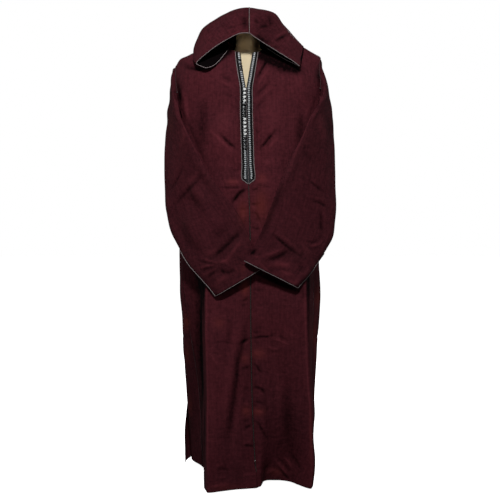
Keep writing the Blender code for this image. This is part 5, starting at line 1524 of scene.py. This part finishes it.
# a knot is one closed thread that goes three times round a core and four times to and fro along it
KNOT_HALF = (0.0042, 0.0029, 0.0019)
KNOT_THREAD = 0.00105
knot_line = []
for turn in np.linspace(0, 2 * math.pi, 66, endpoint=False):
    lean = 1.05 * math.sin(4 * turn)
    round_it = 1.0 + 0.12 * math.sin(12 * turn)
    knot_line.append((KNOT_HALF[0] * math.sin(lean),
                      KNOT_HALF[1] * math.cos(lean) * math.cos(3 * turn) * round_it,
                      KNOT_HALF[2] * math.cos(lean) * math.sin(3 * turn) * round_it))
knot_core = [(x, 0.0, 0.0) for x in (-0.0040, -0.0026, 0.0, 0.0026, 0.0040)]
knot_unit = unit_of("knot_unit", [thread(knot_line, KNOT_THREAD, 5, closed=True),
                                  thread(knot_core, KNOT_HALF[2], 7)])
LOOP_THREAD = 0.00055
loop_line = [(0.0128, 0.0013, -0.0016), (0.0110, 0.0015, -0.0002), (0.0078, 0.0017, 0.0004),
             (0.0050, 0.0011, 0.0008), (0.0044, 0.0, 0.0009), (0.0050, -0.0011, 0.0008),
             (0.0078, -0.0017, 0.0004), (0.0110, -0.0015, -0.0002), (0.0128, -0.0013, -0.0016)]
loop_unit = unit_of("loop_unit", [thread(loop_line, LOOP_THREAD, 6)])
short_loop = [(x * 0.62 - 0.0040, y, z) for x, y, z in loop_line]
short_loop_unit = unit_of("short_loop_unit", [thread(short_loop, LOOP_THREAD, 6)])
UNITS = (stitch_unit, fine_plait_unit, bead_unit, knot_unit, loop_unit, short_loop_unit)
for unit in UNITS:
    print(unit.name, "faces", len(unit.data.polygons))

# %% [markdown]
# ### The placket
# The slit is edged on both sides by a silver braid of thread beads, a black satin band and a mauve
# grey piping. They lie at fixed distances from the edge of the slit and end in a point below it.

# %% Places on the front panels
fronts = {}
for side, word in SIDES:
    points = panels[f"front_{word}"]
    normals = normals_of(points)
    if side < 0:
        points, normals = points[:, ::-1], normals[:, ::-1]
    fronts[side] = (points, normals, lengths_across(points))


def on_front(side, height, distance, lift):
    """A point over a front panel, given at its centre edge's height, and the way out there."""
    points, normals, away = fronts[side]
    row = float(np.interp(-height, -points[:, 0, 2], np.arange(len(points))))
    top = min(int(row), len(points) - 2)
    place, out = np.zeros(3), np.zeros(3)
    for i, share in ((top, 1 - row + top), (top + 1, row - top)):
        column = float(np.interp(distance, away[i], np.arange(away.shape[1])))
        left = min(int(column), away.shape[1] - 2)
        for j, part in ((left, 1 - column + left), (left + 1, column - left)):
            place += points[i, j] * share * part
            out += normals[i, j] * share * part
    out /= np.linalg.norm(out)
    return place + out * lift, out


def front_path(side, places, lift):
    """The points and the ways out of a line on a front panel, given as heights and distances."""
    found = [on_front(side, height, distance, lift) for height, distance in places]
    return np.array([p for p, _ in found]), np.array([o for _, o in found])


# %% Strips of tape
TAPE_POINTS = 7


def tape(name, sides, thick, material):
    """A flat trim between two lines, with a crowned face and its own flat coordinates."""
    (near, outs), (far, _) = sides
    share = np.linspace(0, 1, TAPE_POINTS)
    crown = thick * (0.45 + 0.55 * np.sqrt(np.clip(1 - (2 * share - 1) ** 4, 0, 1)))
    crown[0] = crown[-1] = 0.0
    points = near[:, None] * (1 - share)[None, :, None] + far[:, None] * share[None, :, None]
    points = points + outs[:, None] * crown[None, :, None]
    if np.dot(np.cross(points[1, 0] - points[0, 0], points[0, 1] - points[0, 0]), outs[0]) < 0:
        points = points[:, ::-1]
    made = placed(name, cloth_mesh(name, points, TAPE_POINTS // 2, False, material))
    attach(made, "root")
    print(name, "faces", len(made.data.polygons))
    return made


# %% Braid, band and piping
# heights above the floor, distances from the edge of the slit, and the thickness of the trims
PLACKET_TOP = 1.381
SLIT_FOOT = 0.971
PIPE_FOOT = SLIT_FOOT + 0.0020
PIPE_MIDDLE = 0.0144
PIPE_RADIUS = 0.0013
BAND_FOOT = SLIT_FOOT + 0.0064
BAND_SLANT = 0.0025
BAND_MIDDLE = 0.0101
BAND_HALF = 0.0031
BAND_THICK = 0.0011
BRAID_FOOT = SLIT_FOOT + 0.017
BRAID_MIDDLE = 0.0036
BRAID_HALF = 0.0034
BRAID_THICK = 0.0008
BEAD_TOP = PLACKET_TOP - 0.003
BEAD_FOOT = SLIT_FOOT + 0.020
BEAD_PITCH = 0.0064
BEAD_LIFT = 0.0007
TAPE_LIFT = 0.0001
POINT_GAP = 0.0004
PLACKET_POINTS = 90


def placket_line(distance, foot):
    """Heights and distances down one side of the placket; at its foot the line slants in to the slit."""
    places = [(z, distance) for z in np.linspace(PLACKET_TOP, foot + distance + 0.001, PLACKET_POINTS)]
    return places + [(foot + share * distance, POINT_GAP + share * (distance - POINT_GAP))
                     for share in np.linspace(1, 0, 10)]


for side, word in SIDES:
    line = placket_line(PIPE_MIDDLE, PIPE_FOOT)
    made = cord(f"placket_piping_{word}_cord", *front_path(side, line, PIPE_RADIUS * 0.8), PIPE_RADIUS,
                grey_cord, "piping")
    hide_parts(f"placket_piping_{word}")

    edges = [placket_line(BAND_MIDDLE + part * BAND_HALF, BAND_FOOT - part * BAND_SLANT)
             for part in (-1, 1)]
    made = tape(f"placket_band_{word}_tape", [front_path(side, edge, TAPE_LIFT) for edge in edges],
                BAND_THICK, black_satin)
    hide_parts(f"placket_band_{word}")

    heights = np.linspace(PLACKET_TOP, BRAID_FOOT, PLACKET_POINTS)
    edges = [[(z, BRAID_MIDDLE + part * BRAID_HALF) for z in heights] for part in (-1, 1)]
    tape(f"placket_braid_{word}_ground", [front_path(side, edge, TAPE_LIFT) for edge in edges],
         BRAID_THICK, braid_ground)
    line = [(z, BRAID_MIDDLE) for z in np.linspace(BEAD_TOP, BEAD_FOOT, PLACKET_POINTS)]
    beads = grown(f"placket_braid_{word}_beads", path_mesh(*front_path(side, line, BEAD_LIFT)), row_tree,
                  {"Unit": bead_unit, "Pitch": BEAD_PITCH, "Lean": 0.0, "Side step": 0.0,
                   "Material": silver_braid})
    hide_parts(f"placket_braid_{word}")

# %% The tape behind the slit
UNDERLAY_TOP = 1.2715
UNDERLAY_HALF = 0.0065
UNDERLAY_THICK = 0.00045


def plait(name, line, pitch, lean, aside, material):
    """A plait along a line: arches of thread that lean and step to one side and the other in turn."""
    return grown(name, path_mesh(*line), row_tree, {"Unit": fine_plait_unit, "Pitch": pitch, "Lean": lean,
                                                    "Side step": aside, "Material": material})


heights = np.linspace(UNDERLAY_TOP, SLIT_FOOT + 0.004, 80)
left_edge, left_out = front_path(-1, [(z, UNDERLAY_HALF) for z in heights], 0.00002)
right_edge, right_out = front_path(1, [(z, UNDERLAY_HALF) for z in heights], 0.00002)
middle_out = left_out + right_out
middle_out /= np.linalg.norm(middle_out, axis=1, keepdims=True)
made = tape("placket_underlay_tape", [(left_edge, middle_out), (right_edge, middle_out)], UNDERLAY_THICK,
            grey_tape)
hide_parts("placket_underlay")

# above the tape the slit is open to the neck, and a narrow arm of tape shows beside each edge
ARM_FOOT = 1.2708
ARM_UNDER = 0.0010
heights = np.linspace(PLACKET_TOP, ARM_FOOT, 60)
for side, word, wide in ((-1, "left", 0.0028), (1, "right", 0.0042)):
    inner, outs = front_path(side, [(z, ARM_UNDER) for z in heights], 0.0)
    further, _ = front_path(side, [(z, 0.0060) for z in heights], 0.0)
    way = inner - further
    way /= np.linalg.norm(way, axis=1, keepdims=True)
    tape(f"placket_underlay_{word}_arm", [(inner, outs), (inner + way * (wide + ARM_UNDER), outs)],
         UNDERLAY_THICK, grey_tape)
line = ((left_edge + right_edge) / 2 + middle_out * 0.0006, middle_out)
plait("placket_underlay_thread", line, 0.0021, 0.35, 0.0002, grey_cord)

# %% [markdown]
# ### The knots
# The slit closes with small knots of satin cord, tied as a ball over a core. White and black ones
# come in groups. A thin loop on the other edge takes each knot.

# %% Knots and loops
KNOT_AWAY = 0.0018
KNOT_REACH = 0.0088
KNOT_LIFT = 0.0042
KNOT_TILT = 0.30
NECK_LOOP_HEIGHTS = (1.355, 1.346, 1.337, 1.328, 1.319)
LOOP_LIFT = 0.0019


def places_mesh(name, places, outs, acrosses):
    """A mesh of single points, with the ways out and across at each."""
    mesh = bpy.data.meshes.new(name)
    mesh.from_pydata([tuple(place) for place in places], [], [])
    return with_ways(mesh, out=outs, across=acrosses)


def knot_places(numbers):
    """The places of the CAD knots, at the left edge of the slit; each knot tilts up a little."""
    centres, outs, acrosses = [], [], []
    for number in numbers:
        low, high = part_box(f"knot_{number:02d}")
        centre = (np.array(low) + np.array(high)) / 2
        place, out = on_front(-1, centre[2], KNOT_AWAY, 0.0)
        other, _ = on_front(-1, centre[2], KNOT_REACH, 0.0)
        across = place - other
        across -= out * np.dot(across, out)
        tilt = KNOT_TILT * np.linalg.norm(across)
        centres.append(place + out * KNOT_LIFT)
        outs.append(out)
        acrosses.append(across + np.array((0.0, 0.0, tilt)))
    return places_mesh("knot_places", centres, outs, acrosses)


WHITE_KNOTS = [*range(1, 5), *range(9, 14)]
BLACK_KNOTS = [*range(5, 9), *range(14, 22)]
for word, numbers, finish in (("white", WHITE_KNOTS, white_cord), ("black", BLACK_KNOTS, black_cord)):
    made = grown(f"{word}_knots", knot_places(numbers), place_tree, {"Unit": knot_unit, "Material": finish})
    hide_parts(*[f"knot_{number:02d}" for number in numbers])
grown("knot_loops", knot_places(range(1, 18)), place_tree, {"Unit": loop_unit, "Material": loop_cord})

spots, outs, acrosses = [], [], []
for height in NECK_LOOP_HEIGHTS:
    place, out = on_front(1, height, 0.0016, LOOP_LIFT)
    other, _ = on_front(1, height, 0.0086, LOOP_LIFT)
    spots.append(place)
    outs.append(out)
    acrosses.append(other - place)
grown("neck_loops", places_mesh("loop_places", spots, outs, acrosses), place_tree,
      {"Unit": short_loop_unit, "Material": loop_cord})

# %% [markdown]
# ### Braids on the seams
# A narrow plait covers the centre-front seam and the seam on the crown of the hood, and a thin one
# the side seams. Both neighbours' edges are known, so the plait runs midway between them.

# %% Lines midway between two panels


def between_edges(one, other, lift, low=-1.0, high=9.0):
    """The points midway between two edges, and the way out there, between two heights."""
    edge, outs = panels[one[0]][:, one[1]], normals_of(panels[one[0]])[:, one[1]]
    facing, ways = panels[other[0]][:, other[1]], normals_of(panels[other[0]])[:, other[1]]
    facing, ways = denser(facing, 12), denser(ways, 12)
    kept = (edge[:, 2] > low) & (edge[:, 2] < high)
    edge, outs = edge[kept], outs[kept]
    near = [int(np.argmin(((facing - point) ** 2).sum(1))) for point in edge]
    outs = outs + ways[near]
    outs /= np.linalg.norm(outs, axis=1, keepdims=True)
    return (edge + facing[near]) / 2 + outs * lift, outs


FRONT_SEAM_ENDS = (0.055, 0.9695)
SIDE_SEAM_ENDS = (0.031, 0.957)
line = between_edges(("front_left", -1), ("front_right", 0), SEAM_DEEP + 0.0002, *FRONT_SEAM_ENDS)
made = plait("front_seam_braid_plait", line, 0.0013, 0.62, 0.0006, seam_thread)
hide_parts("front_seam_braid")

for word, one, other in (("left", ("front_left", 0), ("gore_left", -1)),
                         ("right", ("front_right", -1), ("gore_right", 0))):
    line = between_edges(one, other, SEAM_DEEP, *SIDE_SEAM_ENDS)
    made = plait(f"side_seam_trim_{word}_plait", line, 0.0016, 0.5, 0.0004, dim_cord)
    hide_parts(f"side_seam_trim_{word}")

line = between_edges(("hood_left", 0), ("hood_right", -1), SEAM_DEEP + 0.0003)
made = plait("hood_seam_braid_plait", line, 0.0017, 0.5, 0.0005, grey_cord)
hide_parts("hood_seam_braid")

# %% [markdown]
# ### Pipings on the edges
# The brim of the hood and both cuffs are edged with cord, and so are the last centimetres of the
# sleeve seams. The cord lies just past the edge of the cloth.

# %% Cuffs and brim
EDGE_CORD = 0.0011
EDGE_GAP = EDGE_CORD * 0.8


def past_edge(points, outs_from, row, gap):
    """A line just past the first or last row of a fine grid, in the direction that the cloth runs."""
    inner = 2 if row == 0 else -3
    run = points[row] - points[inner]
    run /= np.linalg.norm(run, axis=1, keepdims=True)
    return points[row] + run * gap - outs_from[row] * CLOTH_THICK / 2, outs_from[row]


for word in ("left", "right"):
    points = panels[f"sleeve_{word}"]
    line, outs = past_edge(points, normals_of(points, True), -1, EDGE_GAP)
    made = cord(f"cuff_piping_{word}_cord", line, outs, EDGE_CORD, grey_cord, "piping", cyclic=True)
    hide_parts(f"cuff_piping_{word}")

    points = panels[f"hood_{word}"]
    line, outs = past_edge(points, normals_of(points), 0, EDGE_GAP)
    clear_of_crown = slice(None, -2) if word == "left" else slice(2, None)
    made = cord(f"hood_piping_{word}_cord", line[clear_of_crown], outs[clear_of_crown], EDGE_CORD,
                grey_cord, "piping")
    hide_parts(f"hood_piping_{word}")

# %% Sleeve seams
SEAM_CORD = 0.0013
SEAM_CORD_LIFT = 0.0011


def nearest_on(points, normals, wanted, lift):
    """The nearest places of a fine grid to some points, with the ways out there."""
    flat, ways = points.reshape(-1, 3), normals.reshape(-1, 3)
    picks = [int(np.argmin(((flat - w) ** 2).sum(1))) for w in wanted]
    return flat[picks] + ways[picks] * lift, ways[picks]


def corners_of(node):
    """The corners of a CAD solid, each of them once."""
    form = bmesh.new()
    form.from_mesh(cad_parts[node].data)
    bmesh.ops.remove_doubles(form, verts=form.verts, dist=NEAR)
    corners = np.array([v.co for v in form.verts])
    form.free()
    return corners


def middle_line(node, count):
    """The middle line of a CAD cord: its corners in groups of neighbours, joined in order."""
    corners = corners_of(node)
    run = corners - corners.mean(0)
    way = np.linalg.svd(run, full_matrices=False)[2][0]
    order = np.argsort(run @ way)
    return corners[order].reshape(-1, count, 3).mean(1)


for word in ("left", "right"):
    points = panels[f"sleeve_{word}"]
    rough_line = middle_line(f"sleeve_seam_piping_{word}", 6)
    keys = np.linspace(0, 1, len(rough_line))
    wanted = through(keys, rough_line[:, None, :], np.linspace(0, 1, 40))[:, 0]
    line, outs = nearest_on(points, normals_of(points, True), wanted, 0.0)
    for _ in range(3):
        line[1:-1] = (line[:-2] + line[1:-1] * 2 + line[2:]) / 4
    made = cord(f"sleeve_seam_piping_{word}_cord", line + outs * SEAM_CORD_LIFT, outs, SEAM_CORD, grey_cord,
                "piping")
    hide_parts(f"sleeve_seam_piping_{word}")

# %% Armhole trims
# a thin cord runs beside each armhole, and a short bar of cord ends it
ARMHOLE_AWAY = 0.0045
THIN_CORD = 0.0006
THIN_LIFT = 0.0004
BAR_HALF = 0.0055
BAR_POINTS = 9
for side, word in SIDES:
    points, normals, away = fronts[side]
    low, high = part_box(f"armhole_trim_{word}")
    places, outs = [], []
    for i in range(len(points)):
        column = float(np.interp(away[i, -1] - ARMHOLE_AWAY, away[i], np.arange(away.shape[1])))
        left = min(int(column), away.shape[1] - 2)
        part = column - left
        place = points[i, left] * (1 - part) + points[i, left + 1] * part
        if low[2] < place[2] < high[2]:
            places.append(place + normals[i, left] * THIN_LIFT)
            outs.append(normals[i, left])
    made = cord(f"armhole_trim_{word}_cord", np.array(places), np.array(outs), THIN_CORD, dim_cord,
                "piping")
    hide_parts(f"armhole_trim_{word}")
    foot, out = places[-1], outs[-1]
    level = np.cross(out, (0.0, 0.0, 1.0))
    level /= np.linalg.norm(level)
    bar = np.array([foot + level * part * BAR_HALF + out * THIN_LIFT
                    for part in np.linspace(-1, 1, BAR_POINTS)])
    cord(f"armhole_bar_{word}", bar, np.repeat(out[None], BAR_POINTS, axis=0), THIN_CORD, grey_cord,
         "piping")

# %% [markdown]
# ### Stitches
# Hems and edges are held by rows of small stitches in a thread of the cloth's colour. The real ones
# are a quarter of a millimetre thick; they are drawn twice as thick so that they show.

# %% Rows of stitches
STITCH_PITCH = 0.0042
SLEEVE_HEM = 0.030
BRIM_HEM = 0.011
SEAM_TOP = 0.955


def stitched(name, points, outs):
    """A row of stitches along a line on the cloth."""
    return grown(name, path_mesh(points + outs * 0.0001, outs), row_tree,
                 {"Unit": stitch_unit, "Pitch": STITCH_PITCH, "Lean": 0.06, "Side step": 0.0,
                  "Material": burgundy_thread})


sewn_on = {name: [] for name in panels}
for name, points in panels.items():
    closed = name.startswith("sleeve")
    normals = normals_of(points, closed)
    down = lengths_along(points)
    hem = {"sleeve": SLEEVE_HEM, "hood": 0.0}.get(name.split("_")[0], HEM_WIDE - 0.004)
    if hem:
        i = int(np.argmin(np.abs(down[-1] - down - hem)))
        sewn_on[name].append(stitched(f"{name}_hem_stitches", points[i], normals[i]))
    if name.startswith("hood"):
        i = int(np.argmin(np.abs(down - BRIM_HEM)))
        sewn_on[name].append(stitched(f"{name}_brim_stitches", points[i], normals[i]))
    if name.startswith("front"):
        edge = 2 if name == "front_right" else points.shape[1] - 3
        low = points[:, edge, 2] < SEAM_TOP
        sewn_on[name].append(stitched(f"{name}_seam_stitches", points[low, edge], normals[low, edge]))

# %% [markdown]
# ## The form
# The bust is papier-mache under a stretched cream jersey. Only its neck shows. Its level rings are
# read from the CAD solid and joined by smooth curves.

# %% The bust
FORM_SIDES = 24


def rings_of(node, sides):
    """The level rings of a turned or lofted CAD solid, from the top, each sorted by its angle."""
    corners = corners_of(node)
    corners = corners[np.argsort(-corners[:, 2], kind="stable")]
    rings = []
    for ring in corners[:len(corners) // sides * sides].reshape(-1, sides, 3):
        turn = np.arctan2(ring[:, 1] * 1.5, ring[:, 0])
        rings.append(ring[np.argsort(turn)[::-1]])
    return np.array(rings)


rings = rings_of("form_torso", FORM_SIDES)
print("rings of the bust:", rings.shape)

# %% Skin of the bust
# under the robe the skin lies deeper than the solid, clear of the cloth, and above the chest it is
# kept to the width of the neck
SKIN_STEP = 0.009
SKIN_GAP = 0.0004
SKIN_SUNK = 0.0040
SUNK_BELOW = 1.435
NECK_HALF = 0.0385
NECK_WIDENS = 1.405
NECK_FLARE = 0.55
bust = finer(rings, SKIN_STEP, closed=True)
bust_out = normals_of(bust, True)
if (bust_out[len(bust) // 2, :, :2] * bust[len(bust) // 2, :, :2]).sum() < 0:
    bust = bust[:, ::-1]
    bust_out = normals_of(bust, True)
hidden_share = soft_step(SUNK_BELOW - bust[..., 2], 0.0, 0.03)
bust = bust - bust_out * (SKIN_GAP + SKIN_SUNK * hidden_share)[..., None]
neck_half = NECK_HALF + NECK_FLARE * np.clip(NECK_WIDENS - bust[..., 2], 0, 1)
above_chest = soft_step(bust[..., 2], 1.375, 1.39)
bust[..., 0] += above_chest * (np.clip(bust[..., 0], -neck_half, neck_half) - bust[..., 0])
# the shade of the hood on the neck: spots as on the cloth
NECK_SPOTS = ((233, 44, 4, 12, -1.25), (257, 46, 5, 12, -1.3), (245, 34, 14, 6, -0.9))
neck_shade = spots_at(bust, NECK_SPOTS) * above_chest
mesh = cloth_mesh("form_torso_jersey", bust, 0, True, jersey, wear=neck_shade)
form = bmesh.new()
form.from_mesh(mesh)
bmesh.ops.holes_fill(form, edges=[e for e in form.edges if e.is_boundary], sides=0)
bmesh.ops.recalc_face_normals(form, faces=form.faces)
form.to_mesh(mesh)
form.free()
made = placed("form_torso_jersey", mesh)
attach(made, "root")
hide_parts("form_torso")
print("bust faces", len(mesh.polygons))

# %% Finishes for the CAD parts of the stand
for name, finish in (("form_neck_cap", varnished), ("form_pole", steel), ("form_base", steel)):
    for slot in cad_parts[name].material_slots:
        slot.material = finish

# %% The units, which have done their work
for unit in UNITS:
    bpy.data.objects.remove(unit)

# %% [markdown]
# ## The cut of the cloth
# The widest row of each panel is measured along the shaped cloth: the cloth does not stretch, so its
# width hung up is its width on the cutting table.

# %% Widths of the panels


for name, points in panels.items():
    closed = name.startswith("sleeve")
    wide = float(lengths_across(joined_up(points, closed))[:, -1].max())

# %% The visual box, and the end
low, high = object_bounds()
print("visual box", [round(v, 4) for v in (*low, *high)])
